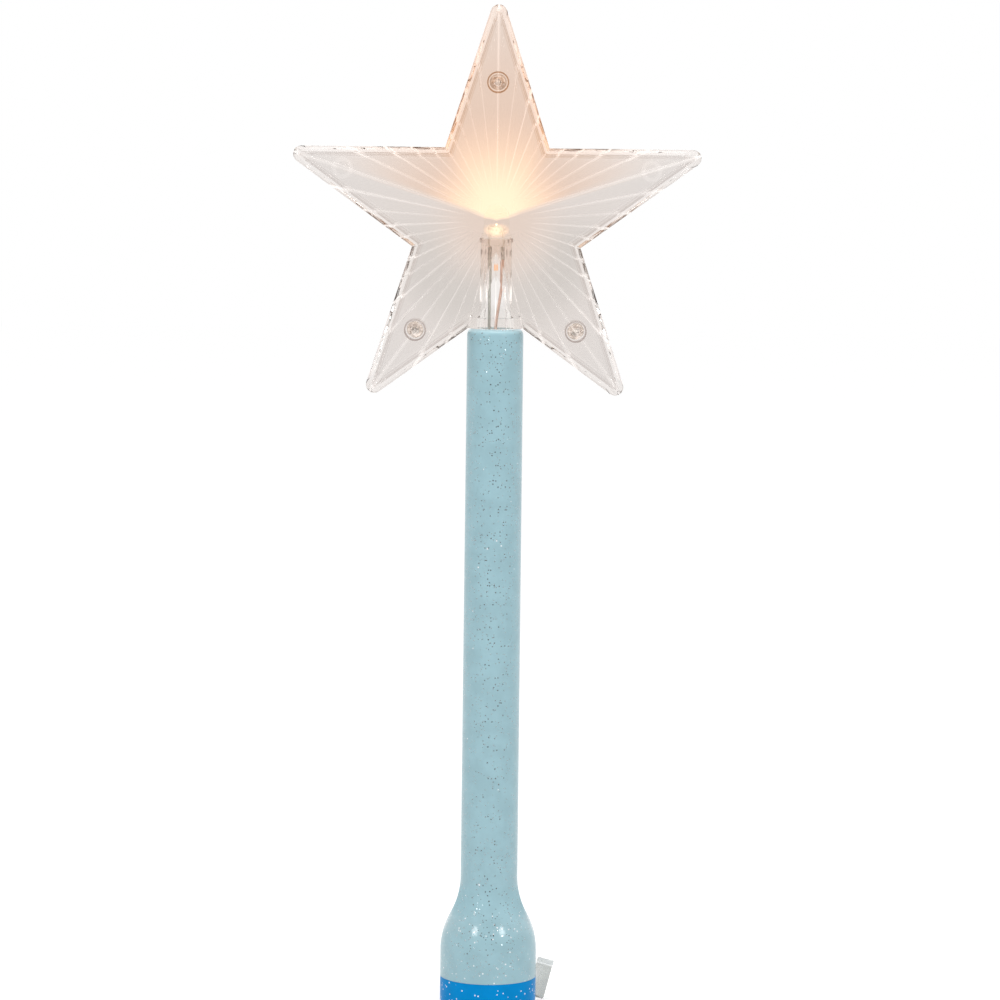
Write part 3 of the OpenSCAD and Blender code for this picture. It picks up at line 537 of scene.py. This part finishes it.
def clear_shell_finish(name):
    material, tree, shader = new_finish(name)
    span, turned = star_polar(tree)
    angle = calc(tree, "ABSOLUTE", turned)
    along, across, depth = star_edge(tree, span, turned)
    side, radius, height = neck_place(tree)
    core, painted_glow, tint = star_glow(tree, span, angle)
    shade_rings, shade_specks, boss_light = boss_marks(tree, angle, along, across)
    neck, gap_shadows, painted_bars, tube = neck_marks(tree, side, radius, height)
    off_collar = larger(tree, remap(tree, side, *COLLAR_SIDE), remap(tree, height, *COLLAR_TOP))
    clear_rim = times(tree, remap(tree, depth, *CLEAR_RIM), off_collar)
    # The rim is paler, as painted light, and takes the painted glow.
    tint = mix_colour(tree, clear_rim, tint, mix_colour(tree, painted_glow, RIM_CLEAR, RIM_WARM))
    tint = mix_colour(tree, neck, tint, tube)
    # Painted shade: a fine dark line along each side of the rim, and dark rings round the screw bosses.
    lines = larger(tree, band(tree, depth, *RIM_LINE), times(tree, band(tree, depth, *EDGE_LINE), 0.35))
    lines = times(tree, lines, off_collar)
    marks = larger(tree, times(tree, lines, 0.6), times(tree, shade_rings, 0.85))
    marked = mix_colour(tree, marks, tint, mix_colour(tree, painted_glow, MARK, MARK_WARM))
    # Painted shade: the shadow in the neck's gaps and the dark specks on the screws.
    dark = larger(tree, gap_shadows, times(tree, shade_specks, 0.75))
    feed(tree, shader.inputs["Base Color"], mix_colour(tree, dark, marked, MARK_DARK))
    # Painted light: pale ribs and rim, the neck's bright bars and the bosses' pale light.
    pale = plus_times(tree, rib_light(tree, span, turned, depth, lines), painted_bars, BAR_LIGHT)
    pale = calc(tree, "ADD", pale, boss_light)
    # Painted light of the lamp: the core and the glow, as emission.
    fire = plus_times(tree, times(tree, core, CORE_LIGHT), painted_glow, WARM_LIGHT)
    total = larger(tree, calc(tree, "ADD", pale, fire), NO_LIGHT)
    flame = mix_colour(tree, core, FLAME_FAR, FLAME_NEAR)
    lit = mix_colour(tree, calc(tree, "DIVIDE", fire, total), LIT_WHITE, flame)
    feed(tree, shader.inputs["Emission Color"], lit)
    feed(tree, shader.inputs["Emission Strength"], total)
    haze = remap(tree, noise_value(tree, 220, 2), 0.3, 0.7, 0.02, 0.05, "LINEAR")
    feed(tree, shader.inputs["Roughness"], haze)
    shader.inputs["Transmission Weight"].default_value = 1.0
    shader.inputs["IOR"].default_value = STAR_IOR
    return material


clear_star = clear_shell_finish("clear_star")
print("clear finish:", clear_star.name)

# %% [markdown]
# The lamp's holder is clear too. Light that runs down its peg comes out at the foot, and is painted there as
# an orange colour and glow.

# %% Clear holder finish
LIT_END_Z = (0.2415, 0.2405)
clear_holder, tree, shader = new_finish("clear_holder")
# Painted light: the peg's foot is orange and glows.
lit_end = remap(tree, object_parts(tree)[2], *LIT_END_Z)
peg_and_painted_glow = mix_colour(tree, lit_end, (0.985, 0.975, 0.965, 1), (0.95, 0.66, 0.48, 1))
feed(tree, shader.inputs["Base Color"], peg_and_painted_glow)
shader.inputs["Emission Color"].default_value = (1.0, 0.5, 0.25, 1)
feed(tree, shader.inputs["Emission Strength"], times(tree, lit_end, 0.12))
haze = remap(tree, noise_value(tree, 300, 2), 0.3, 0.7, 0.02, 0.06, "LINEAR")
feed(tree, shader.inputs["Roughness"], haze)
shader.inputs["Transmission Weight"].default_value = 1.0
shader.inputs["IOR"].default_value = 1.2
print("clear finish:", clear_holder.name)

# %% [markdown]
# Metals differ in colour and in how evenly they shine. One function makes them all: a metallic shader whose
# colour and roughness vary a little with two sizes of noise, as plated and stamped metal does. The star's
# screws and the lamp's legs stand in the lamp's light, which is painted on their finishes as a little glow.

# %% Metal finishes
def metal(name, colour, roughness, grain, mirror=1.0, glow=0.0):
    material, tree, shader = new_finish(name)
    patches = noise_value(tree, grain, 4, 0.6)
    fine = noise_value(tree, grain * 7, 2)
    worn = remap(tree, patches, 0.3, 0.7)
    feed(tree, shader.inputs["Base Color"], mix_colour(tree, worn, shade(colour, 0.78), colour))
    feed(tree, shader.inputs["Roughness"], remap(tree, patches, 0.3, 0.7, roughness * 1.4, roughness * 0.8))
    feed(tree, shader.inputs["Normal"], bump(tree, fine, SKIN_BUMP, 0.5))
    shader.inputs["Metallic"].default_value = mirror
    # The glow is painted light from the lamp.
    shader.inputs["Emission Color"].default_value = (1.0, 0.9, 0.8, 1)
    shader.inputs["Emission Strength"].default_value = glow
    return material


zinc = metal("zinc", rgb(228, 226, 222), 0.3, 500, 0.55)
tinned = metal("tinned", rgb(214, 212, 208), 0.3, 900, 0.6)
# These two get painted light from the lamp as a glow.
lit_zinc = metal("lit_zinc", rgb(236, 232, 226), 0.2, 500, 0.6, 0.17)
lit_tin = metal("lit_tin", rgb(228, 222, 214), 0.3, 900, 0.4, 0.3)
nickel = metal("nickel", rgb(205, 203, 198), 0.2, 400)
brass = metal("brass", rgb(205, 170, 96), 0.26, 500)
print("metals:", *(made.name for made in (zinc, tinned, lit_zinc, lit_tin, nickel, brass)))

# %% [markdown]
# The other plastics are opaque: wire insulation, the white holder, black epoxy and the switch. They share
# one function with a soft mottle and a fine moulded texture. The board has a green coat of lacquer over thin
# copper tracks, which show as slightly lighter, raised lines.

# %% Plain plastics and the board
def moulded(name, colour, roughness, grain):
    material, tree, shader = new_finish(name)
    cloud = noise_value(tree, grain, 3)
    mottle = remap(tree, cloud, 0.3, 0.7)
    feed(tree, shader.inputs["Base Color"], mix_colour(tree, mottle, shade(colour, 0.86), colour))
    feed(tree, shader.inputs["Roughness"], remap(tree, cloud, 0.3, 0.7, roughness * 1.2, roughness * 0.85))
    feed(tree, shader.inputs["Normal"], bump(tree, noise_value(tree, grain * 9, 2), SKIN_BUMP, 0.5))
    return material


red_insulation = moulded("red_insulation", rgb(238, 202, 186), 0.4, 300)
grey_insulation = moulded("grey_insulation", rgb(205, 206, 199), 0.4, 300)
white_plastic = moulded("white_plastic", rgb(236, 236, 232), 0.42, 240)
black_plastic = moulded("black_plastic", rgb(34, 34, 35), 0.45, 300)
board_green, tree, shader = new_finish("board_green")
tracks = add_node(tree, "TexBrick", {"Vector": object_point(tree), "Scale": 330.0, "Mortar Size": 0.09,
                                     "Color1": rgb(16, 84, 44), "Color2": rgb(19, 92, 48),
                                     "Mortar": rgb(52, 128, 66)})
feed(tree, shader.inputs["Base Color"], tracks.outputs["Color"])
feed(tree, shader.inputs["Normal"], bump(tree, tracks.outputs["Fac"], 0.00004, 0.5))
shader.inputs["Roughness"].default_value = 0.3
print("plastics: five finishes with the board")

# %% [markdown]
# The lamp is cast in clear epoxy and is lit: the chip inside it is the source, and the epoxy's glow round it
# is painted on, warm in colour and strongest near the chip. The clear film of the pull tab is thin and
# crinkled: it greys what is behind it, it is painted paler on its raised crinkles as a painted highlight, and
# its folded end, which is double, looks pale.

# %% Lamp and film finishes
LIT_Z, LIT_SQUASH = 0.2515, 1.6
LIT_REACH, LIT_CORE = 0.0044, 0.0008
FOLD_Z = (0.0108, 0.0116)
lamp_epoxy, tree, shader = new_finish("lamp_epoxy")
place = add_node(tree, "Mapping", {"Vector": object_point(tree), "Location": (0, 0, -LIT_Z * LIT_SQUASH),
                                   "Scale": (1, 0, LIT_SQUASH)})
from_lit = add_node(tree, "VectorMath", {0: place.outputs[0]}, operation="LENGTH").outputs["Value"]
# Painted light: the epoxy glows round the chip, broken up by noise.
near_chip = remap(tree, from_lit, LIT_REACH, LIT_CORE)
glow_breakup = remap(tree, noise_value(tree, 1100, 1), 0.35, 0.6, 0.35, 1.0)
# The epoxy is painted warm near the chip, as painted light.
epoxy = mix_colour(tree, near_chip, (0.975, 0.965, 0.95, 1), (1.0, 0.9, 0.74, 1))
feed(tree, shader.inputs["Base Color"], epoxy)
flame = mix_colour(tree, near_chip, (1.0, 0.62, 0.34, 1), (1.0, 0.82, 0.58, 1))
feed(tree, shader.inputs["Emission Color"], flame)
feed(tree, shader.inputs["Emission Strength"], times(tree, times(tree, near_chip, glow_breakup), 0.45))
shader.inputs["Transmission Weight"].default_value = 1.0
shader.inputs["Roughness"].default_value = 0.04
shader.inputs["IOR"].default_value = 1.07

lamp_light, tree, shader = new_finish("lamp_light")
phosphor = mix_colour(tree, noise_value(tree, 3000), (1, 0.8, 0.4, 1), (1, 0.9, 0.6, 1))
feed(tree, shader.inputs["Base Color"], phosphor)
shader.inputs["Emission Color"].default_value = (1.0, 0.82, 0.5, 1)
shader.inputs["Emission Strength"].default_value = 4.0

clear_film, tree, shader = new_finish("clear_film")
creases = noise_value(tree, 150, 3, 0.5)
# Painted highlight: the film is paler where its crinkles stand up.
film = mix_colour(tree, remap(tree, creases, 0.4, 0.65), rgb(200, 202, 199), rgb(217, 219, 216))
folded = remap(tree, object_parts(tree)[2], *FOLD_Z)
feed(tree, shader.inputs["Base Color"], mix_colour(tree, folded, film, rgb(244, 245, 244)))
feed(tree, shader.inputs["Roughness"], remap(tree, creases, 0.3, 0.7, 0.12, 0.4))
feed(tree, shader.inputs["Normal"], bump(tree, creases, 0.00008, 0.8))
shader.inputs["Transmission Weight"].default_value = 0.85
shader.inputs["IOR"].default_value = 1.12
print("lamp and film finishes ready")

# %% [markdown]
# A helper turns a finished bmesh into a piece: it shades the faces smooth, keeps edges sharp where two faces
# meet at a clear angle, gives the piece its finish and lets it ride on a body of the frame.

# %% Piece helper
MERGE = 1e-7


def make_piece(name, bm, body, finish, replaced=(), sharp=38):
    bmesh.ops.remove_doubles(bm, verts=bm.verts, dist=MERGE)
    bmesh.ops.recalc_face_normals(bm, faces=bm.faces)
    for face in bm.faces:
        face.smooth = True
    for edge in bm.edges:
        edge.smooth = edge.calc_face_angle(0.0) < math.radians(sharp)
    mesh = bpy.data.meshes.new(name)
    bm.to_mesh(mesh)
    bm.free()
    mesh.materials.append(finish)
    piece = bpy.data.objects.new(name, mesh)
    scene.collection.objects.link(piece)
    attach(piece, body)
    if replaced:
        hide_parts(*replaced)
    print(name, len(mesh.polygons), "faces on", body)


print("piece helper ready")

# %% [markdown]
# Most of the wand is turned, so one helper spins a profile round the axis. Others round a profile's edges,
# cut simple shapes out of a form, move a form, and join several forms into one.

# %% Form helpers
def turn(bm, profile, steps=128, closed=True):
    """Spins a profile of (radius, height) points in mm round the Z axis."""
    ring = [bm.verts.new((r * MM, 0, z * MM)) for r, z in profile]
    pairs = list(zip(ring, ring[1:])) + ([(ring[-1], ring[0])] if closed else [])
    edges = [bm.edges.new(pair) for pair in pairs]
    bmesh.ops.spin(bm, geom=ring + edges, axis=(0, 0, 1), cent=(0, 0, 0), angle=2 * math.pi,
                   steps=steps, use_merge=True)
    bmesh.ops.remove_doubles(bm, verts=bm.verts, dist=MERGE)
    bmesh.ops.recalc_face_normals(bm, faces=bm.faces)


def arc(centre, radius, start, end, steps):
    """Points of a round edge in a profile; angles in degrees, 0 is outwards and 90 is up."""
    angles = [math.radians(start + (end - start) * i / steps) for i in range(steps + 1)]
    return [(centre[0] + radius * math.cos(a), centre[1] + radius * math.sin(a)) for a in angles]


def carve(bm, cutters):
    """Cuts closed shapes out of a bmesh with Blender's exact boolean, and returns the result."""
    def temporary(shape, name):
        mesh = bpy.data.meshes.new(name)
        shape.to_mesh(mesh)
        shape.free()
        made = bpy.data.objects.new(name, mesh)
        scene.collection.objects.link(made)
        return made
    body = temporary(bm, "carved")
    tools = [temporary(cutter, "cutter") for cutter in cutters]
    for tool in tools:
        cut = body.modifiers.new("cut", "BOOLEAN")
        cut.operation = "DIFFERENCE"
        cut.solver = "EXACT"
        cut.object = tool
    result = bmesh.new()
    result.from_object(body, bpy.context.evaluated_depsgraph_get())
    for made in [body] + tools:
        mesh = made.data
        bpy.data.objects.remove(made)
        bpy.data.meshes.remove(mesh)
    return result


def block(low, high):
    """A box between two corners in mm, as a cutter."""
    bm = bmesh.new()
    size = [(b - a) * MM for a, b in zip(low, high)]
    middle = [(a + b) / 2 * MM for a, b in zip(low, high)]
    bmesh.ops.create_cube(bm, size=1, matrix=Matrix.Translation(middle) @ Matrix.Diagonal(size + [1]))
    return bm


def drum(radius, low, high, segments=48):
    """A round bar on the Z axis, in mm, as a cutter."""
    bm = bmesh.new()
    bmesh.ops.create_cone(bm, cap_ends=True, segments=segments, radius1=radius * MM, radius2=radius * MM,
                          depth=(high - low) * MM, matrix=Matrix.Translation((0, 0, (low + high) / 2 * MM)))
    return bm


def moved(bm, matrix):
    bmesh.ops.transform(bm, matrix=matrix, verts=bm.verts)
    return bm


def joined(parts):
    """One bmesh of several, which are freed."""
    whole = bmesh.new()
    for part in parts:
        mesh = bpy.data.meshes.new("part")
        part.to_mesh(mesh)
        part.free()
        whole.from_mesh(mesh)
        bpy.data.meshes.remove(mesh)
    return whole


print("form helpers ready")

# %% [markdown]
# The star's two shells touch all along their rims. Where two clear faces lie in exactly the same place a
# renderer passes the light to and fro between them until it is lost, and the rim turns black. So each shell
# is a merged copy of its CAD mesh whose joint faces are drawn back by a few hundredths of a millimetre, which
# is also what the thin film of air between two real mouldings does.

# %% Star shells
JOINT_GAP, ON_JOINT, SHELL_SHARP = 0.03, 2e-6, 12


def star_shell(name, node, side):
    bm = bmesh.new()
    bm.from_mesh(nodes[node].data)
    bmesh.ops.remove_doubles(bm, verts=bm.verts, dist=MERGE)
    joint = [v for v in bm.verts if abs(v.co.y) < ON_JOINT]
    bmesh.ops.translate(bm, vec=(0, side * JOINT_GAP * MM, 0), verts=joint)
    make_piece(name, bm, "wand", clear_star, [node], SHELL_SHARP)


star_shell("star_front_clear", "star_front", -1)
star_shell("star_rear_clear", "star_rear", 1)

# %% [markdown]
# The shaft is one moulding: a long tube with a rounded lip, a flare of two arcs that run on into each other,
# and a short straight bell. A turned form is best made by spinning its profile, wall and all. The round hole
# for the button is cut at the rear afterwards.

# %% Shaft
CAP_H, BELL_R, BELL_TOP, FLARE_TOP, MOUTH = 10.5, 15.5, 19.0, 43.0, 220.4
SHAFT_FOOT_R, SHAFT_TOP_R, WALL, LIP_R, SOCKET_R, SEAM_R = 9.2, 9.0, 1.8, 2, 5.3, 0.12


def flare(low_r, high_r, steps=14):
    rise = (FLARE_TOP - BELL_TOP) / 2
    draw = (low_r - high_r) / 2
    radius = (rise * rise + draw * draw) / (2 * draw)
    sweep = math.degrees(math.asin(rise / radius))
    lower = arc((low_r - radius, BELL_TOP), radius, 0, sweep, steps)
    upper = arc((high_r + radius, FLARE_TOP), radius, 180 + sweep, 180, steps)
    return lower + upper[1:]


bore_r = SHAFT_TOP_R - WALL
profile = arc((BELL_R - SEAM_R, CAP_H + 0.14), SEAM_R, -90, 0, 4) + flare(BELL_R, SHAFT_FOOT_R)
profile += [(SHAFT_FOOT_R - 0.04 * i, FLARE_TOP + 34 * i) for i in range(1, 5)]
profile += arc((SHAFT_TOP_R - LIP_R, MOUTH - LIP_R), LIP_R, 0, 90, 10)
profile += [(6.3, MOUTH), (SOCKET_R, MOUTH - 1), (SOCKET_R, MOUTH - 18.2), (bore_r, MOUTH - 20.1)]
profile += list(reversed(flare(BELL_R - WALL, bore_r))) + [(BELL_R - WALL, CAP_H + 0.02)]
bm = bmesh.new()
turn(bm, profile, 144)
BUTTON_Z, BUTTON_HOLE_R = 18.2, 3.5
BUTTON_PLACE = Matrix.Translation((0, 0, BUTTON_Z * MM)) @ Matrix.Rotation(-math.pi / 2, 4, "X")
bm = carve(bm, [moved(drum(BUTTON_HOLE_R, 9, 20), BUTTON_PLACE)])
make_piece("shaft_skin", bm, "wand", pale_glitter, ["wand_shaft"])

# %% [markdown]
# The blue cap closes the bell. Its lower edge is well rounded and its foot is a flat ring round the battery
# door. It is spun as well, with its spigot and floor, and then the slit for the pull tab, the slot for the
# contact and the door screw's hole are cut.

# %% End cap
CAP_ROUND, SPIGOT_R, SPIGOT_TOP = 3.4, 13.6, 13.5
profile = [(6.1, 4.2), (6.1, 2.0), (9.1, 2.0), (9.1, 0.15), (9.25, 0.0)]
profile += arc((BELL_R - CAP_ROUND, CAP_ROUND), CAP_ROUND, -90, 0, 12)
profile += arc((BELL_R - SEAM_R, CAP_H - 0.14), SEAM_R, 0, 90, 4)
profile += [(SPIGOT_R, CAP_H - 0.02), (SPIGOT_R, 13.2), (13.3, SPIGOT_TOP), (12.3, SPIGOT_TOP), (12.3, 4.2)]
bm = bmesh.new()
turn(bm, profile, 144)
TAB_TURN = Matrix.Rotation(math.radians(38), 4, "Z")
DOOR_SCREW_PLACE = TAB_TURN @ Matrix.Translation((-7.6 * MM, 0, 0))
slit = moved(block((5, -4.3, 2.7), (21, 4.3, 3.6)), TAB_TURN)
strap = block((-1.8, 0, 1.0), (1.8, 8.5, 5.2))
screw_hole = moved(drum(1.0, 1.0, 4.0, 24), DOOR_SCREW_PLACE)
bm = carve(bm, [slit, strap, screw_hole])
make_piece("cap_skin", bm, "wand", blue_glitter, ["end_cap"])

# %% [markdown]
# The button at the rear of the bell is dished for a fingertip. The battery door is a plain disc with eased
# edges, a raised ring and a hole for its screw.

# %% Button and battery door
SEAT_Z = 1.4
stem = [(0, 10.6), (1.5, 10.6), (1.5, 11.74), (4.2, 11.74), (4.2, 12.74), (3.2, 12.74)]
dish = [(2.3, 16.42), (1.6, 16.24), (0.8, 16.12), (0, 16.08)]
bm = bmesh.new()
turn(bm, stem + arc((2.6, 15.9), 0.6, 0, 90, 6) + dish, 64, False)
moved(bm, BUTTON_PLACE)
make_piece("button_cap", bm, "button", blue_glitter, ["power_button"])
bm = bmesh.new()
turn(bm, [(0, 0.85), (5.6, 0.85), (5.8, 0.55), (6.3, 0.5), (8.4, 0.5), (8.7, 0.8), (8.7, 1.85), (8.55, 2.0),
          (0, 2.0)], 96, False)
screw_seat = moved(drum(1.25, -1, SEAT_Z, 32), DOOR_SCREW_PLACE)
screw_way = moved(drum(0.8, 0, 3, 32), DOOR_SCREW_PLACE)
bm = carve(bm, [screw_seat, screw_way])
make_piece("door_disc", bm, "door", blue_glitter, ["battery_door"])

# %% [markdown]
# Screws get a domed head with a crossed recess and a thread. The thread is a small ridge that is spun and
# lifted at the same time, which is how a helix is made with the spin operator.

# %% Screws
SCREW_STEPS, TURN_STEPS = 40, 18


def screw(shank_r, shank_h, head_r, head_h, pitch):
    """A screw that points down, with the underside of its head at zero; all sizes in mm."""
    shank = [(0, -shank_h), (shank_r * 0.45, -shank_h), (shank_r * 0.82, -shank_h + shank_r * 0.6),
             (shank_r * 0.82, 0)]
    head = [(head_r, 0), (head_r, head_h * 0.35), (head_r * 0.86, head_h * 0.78),
            (head_r * 0.5, head_h * 0.97), (0, head_h)]
    bm = bmesh.new()
    turn(bm, shank + head, SCREW_STEPS, False)
    arm, half, depth = head_r * 0.6, head_r * 0.13, head_h * 0.45
    slots = [block((-a, -b, head_h - depth), (a, b, head_h + 1)) for a, b in ((arm, half), (half, arm))]
    bm = carve(bm, slots)
    turns = (shank_h - shank_r * 0.8) / pitch
    foot = -shank_h + shank_r * 0.5
    ridge = [bm.verts.new((r * MM, 0, (foot + z) * MM)) for r, z in
             ((shank_r * 0.8, -pitch * 0.3), (shank_r, 0), (shank_r * 0.8, pitch * 0.3))]
    edges = [bm.edges.new((ridge[i], ridge[(i + 1) % 3])) for i in range(3)]
    steps = int(turns * TURN_STEPS)
    lift = (0, 0, turns * pitch * MM / steps)
    bmesh.ops.spin(bm, geom=ridge + edges, axis=(0, 0, 1), cent=(0, 0, 0), dvec=lift,
                   angle=2 * math.pi * turns, steps=steps)
    return bm


def placed_screws(name, body, sizes, places, finish, replaced):
    whole = joined([moved(screw(*sizes), place) for place in places])
    make_piece(name, whole, body, finish, replaced)


def on_arm(angle, reach):
    """Place on an arm of the star, with the local Z axis towards the rear; the angle is from the top arm."""
    around = Matrix.Translation((0, 0, STAR_Z)) @ Matrix.Rotation(math.radians(angle), 4, "Y")
    return around @ Matrix.Translation((0, 0, reach * MM)) @ Matrix.Rotation(-math.pi / 2, 4, "X")


STAR_SCREW = (1.2, 5.2, 2.5, 1.5, 0.9)
DOOR_SCREW = (0.7, 2.2, 1.15, 0.7, 0.5)
HEAD_Y = 2.2
star_places = [on_arm(a, BOSS_REACH) @ Matrix.Translation((0, 0, HEAD_Y * MM)) for a in (0, 144, 216)]
placed_screws("star_screw_set", "wand", STAR_SCREW, star_places, lit_zinc, ["star_screws"])
door_place = DOOR_SCREW_PLACE @ Matrix.Translation((0, 0, SEAT_Z * MM)) @ Matrix.Rotation(math.pi, 4, "X")
placed_screws("door_screw_fine", "door", DOOR_SCREW, [door_place], zinc, ["door_screw"])

# %% [markdown]
# The lamp's lens is a solid casting: a flange, a straight side and a dome. Two legs and the lit chip stand
# in it. The sleeves that join the legs to the wires are crimped, so their profile is drawn in twice.

# %% Lamp
NECK_TOP, LENS_R, LEAD_SIDE = 249.0, 4, 2.15
flange = [(0, 0.03), (4.5, 0.03), (4.6, 0.1), (4.6, 1.4), (4.5, 1.5), (LENS_R, 1.5)]
bm = bmesh.new()
turn(bm, flange + arc((0, 7), LENS_R, 0, 90, 16), 72, False)
moved(bm, Matrix.Translation((0, 0, NECK_TOP * MM)))
make_piece("lamp_dome", bm, "wand", lamp_epoxy, ["lamp_lens"])

SLEEVE = [(0.3, 242.5), (0.62, 242.5), (0.65, 242.7), (0.65, 243.3), (0.52, 243.7), (0.65, 244.1),
          (0.65, 244.9), (0.52, 245.3), (0.65, 245.7), (0.65, 246.3), (0.62, 246.5), (0.3, 246.5)]


def sleeve(side):
    bm = bmesh.new()
    turn(bm, SLEEVE, 32)
    return moved(bm, Matrix.Translation((side * LEAD_SIDE * MM, 0, 0)))


sleeves = joined([sleeve(-1), sleeve(1)])
make_piece("crimped_sleeves", sleeves, "wand", tinned, ["lead_sleeves"])

# %% [markdown]
# Two thin wires run from the sleeves down through the neck and the shaft to the board. They are held all the
# way, so they are simply round tubes along the same points that the CAD model uses, drawn as smooth curves
# and then made into meshes.

# %% Wires
RED_ROUTE = [(2.15, 0, 242.5), (2.15, 0, 239), (2, -0.1, 235), (1.5, -0.3, 231), (0.9, -0.4, 227),
             (0.2, -0.3, 222), (0, 0, 216), (0.6, 0.5, 205), (1.6, 0.8, 190), (2, 0.4, 165),
             (1.4, -0.4, 140), (0.9, 0.2, 115), (1.6, 0.8, 90), (2.2, 0.9, 65), (2.6, 1.6, 48),
             (3.4, 4.2, 36), (4.9, 7.6, 28), (5.8, 9.1, 23.5), (5.8, 9.1, 20.4)]
GREY_ROUTE = [(-2.15, 0, 242.5), (-2.15, 0, 239), (-2.1, 0.1, 234), (-2, 0.2, 228), (-2, 0.2, 222),
              (-2, 0, 216), (-1.8, -0.3, 205), (-1.2, -0.8, 190), (-1.6, -0.6, 165), (-2.2, 0.2, 140),
              (-1.8, 0.8, 115), (-1.2, 0.4, 90), (-1.6, 0.6, 65), (-2.4, 1.4, 48), (-3.4, 4.2, 36),
              (-4.9, 7.6, 28), (-5.8, 9.1, 23.5), (-5.8, 9.1, 20.4)]
WIRE_R = 0.45


def wire(name, route, finish, replaced):
    curve = bpy.data.curves.new(name + "_line", "CURVE")
    curve.dimensions = "3D"
    curve.bevel_depth = WIRE_R * MM
    curve.bevel_resolution = 3
    curve.use_fill_caps = True
    line = curve.splines.new("BEZIER")
    line.bezier_points.add(len(route) - 1)
    line.resolution_u = 8
    for point, place in zip(line.bezier_points, route):
        point.co = [c * MM for c in place]
        point.handle_left_type = point.handle_right_type = "AUTO"
    guide = bpy.data.objects.new(name + "_line", curve)
    scene.collection.objects.link(guide)
    tube = bpy.data.meshes.new_from_object(guide.evaluated_get(bpy.context.evaluated_depsgraph_get()))
    bm = bmesh.new()
    bm.from_mesh(tube)
    bpy.data.objects.remove(guide)
    bpy.data.meshes.remove(tube)
    make_piece(name, bm, "wand", finish, replaced)


wire("red_wire", RED_ROUTE, red_insulation, ["wire_red"])
wire("grey_wire", GREY_ROUTE, grey_insulation, ["wire_black"])

# %% [markdown]
# The pull tab is a strip of clear film that comes out of a slit in the cap, sags and bends up by the bell. It
# starts as one edge across the strip, which is extruded step by step along the strip and turned a little at
# each step of the bend. Its end is folded back on itself, and the free leg is crinkled.

# %% Pull tab
def extend(bm, edges, matrix):
    """Draws a row of edges out into a row of faces, and returns the edges at its new end."""
    made = bmesh.ops.extrude_edge_only(bm, edges=edges)["geom"]
    verts = [v for v in made if isinstance(v, bmesh.types.BMVert)]
    bmesh.ops.transform(bm, matrix=matrix, verts=verts)
    return [e for e in made if isinstance(e, bmesh.types.BMEdge) and all(v in verts for v in e.verts)]


TAB_Z, TAB_IN, TAB_OUT, TAB_BEND, TAB_FOLD = 3.15, 1.5, 19.3, 0.75, 1.6
TAB_SAG, TAB_LEG, FOLD_GAP, FILM_THICK = 2.0, 12.1, 0.3, 0.16
RISE, STEPS, SAG_STEPS, BEND_STEPS, FOLD_STEPS = math.radians(71), 20, 4, 6, 4
ROW_STEP, ROW_HALF = 0.5, 8
CRINKLE, CRINKLE_FROM, CRINKLE_FULL = 0.05, 5.0, 3.0
bm = bmesh.new()
row = [bm.verts.new((TAB_IN * MM, y * ROW_STEP * MM, TAB_Z * MM)) for y in range(-ROW_HALF, ROW_HALF + 1)]
front = [bm.edges.new(pair) for pair in zip(row, row[1:])]
for i in range(STEPS):
    drop = TAB_SAG / SAG_STEPS if i >= STEPS - SAG_STEPS else 0
    front = extend(bm, front, Matrix.Translation(((TAB_OUT - TAB_IN) / STEPS * MM, 0, -drop * MM)))
bend_centre = Vector((TAB_OUT * MM, 0, (TAB_Z - TAB_SAG + TAB_BEND) * MM))
for i in range(BEND_STEPS):
    step = Matrix.Rotation(-RISE / BEND_STEPS, 4, "Y")
    front = extend(bm, front, Matrix.Translation(bend_centre) @ step @ Matrix.Translation(-bend_centre))
lean = Vector((math.cos(RISE), 0, math.sin(RISE)))
for i in range(STEPS):
    front = extend(bm, front, Matrix.Translation(lean * TAB_LEG / STEPS * MM))
outwards = Vector((lean.z, 0, -lean.x))
front = extend(bm, front, Matrix.Translation(outwards * FOLD_GAP * MM))
for i in range(FOLD_STEPS):
    front = extend(bm, front, Matrix.Translation(-lean * TAB_FOLD / FOLD_STEPS * MM))
for vert in bm.verts:
    beyond = max(0.0, vert.co.z / MM - CRINKLE_FROM)
    ripple = noise.noise(Vector((vert.co.y * 300, vert.co.z * 420, 3.1)))
    vert.co += outwards * ripple * min(beyond, CRINKLE_FULL) * CRINKLE * MM
bmesh.ops.recalc_face_normals(bm, faces=bm.faces)
bmesh.ops.solidify(bm, geom=bm.faces[:], thickness=FILM_THICK * MM)
moved(bm, TAB_TURN)
make_piece("film_tab", bm, "tab", clear_film, ["pull_tab"])

# %% [markdown]
# The pieces that the CAD model already shapes well keep their meshes and only get their finishes: the
# lamp's holder, legs and chip, and the parts in the battery bay.

# %% Finishes for the frame's own pieces
KEPT = {
    "lamp_holder": clear_holder, "lamp_chip": lamp_light,
    "lamp_leads": lit_tin, "battery_holder": white_plastic, "holder_screws": zinc, "board_screws": zinc,
    "cell_lower": nickel, "cell_middle": nickel, "cell_upper": nickel, "contact_positive": brass,
    "contact_negative": brass, "contact_strap": brass, "circuit_board": board_green,
    "control_chip": black_plastic, "switch_body": black_plastic, "switch_plunger": white_plastic,
}
for name, finish in KEPT.items():
    nodes[name].data.materials.clear()
    nodes[name].data.materials.append(finish)
print("frame pieces finished:", len(KEPT))

# %% [markdown]

# %% The end
print("scene ready")
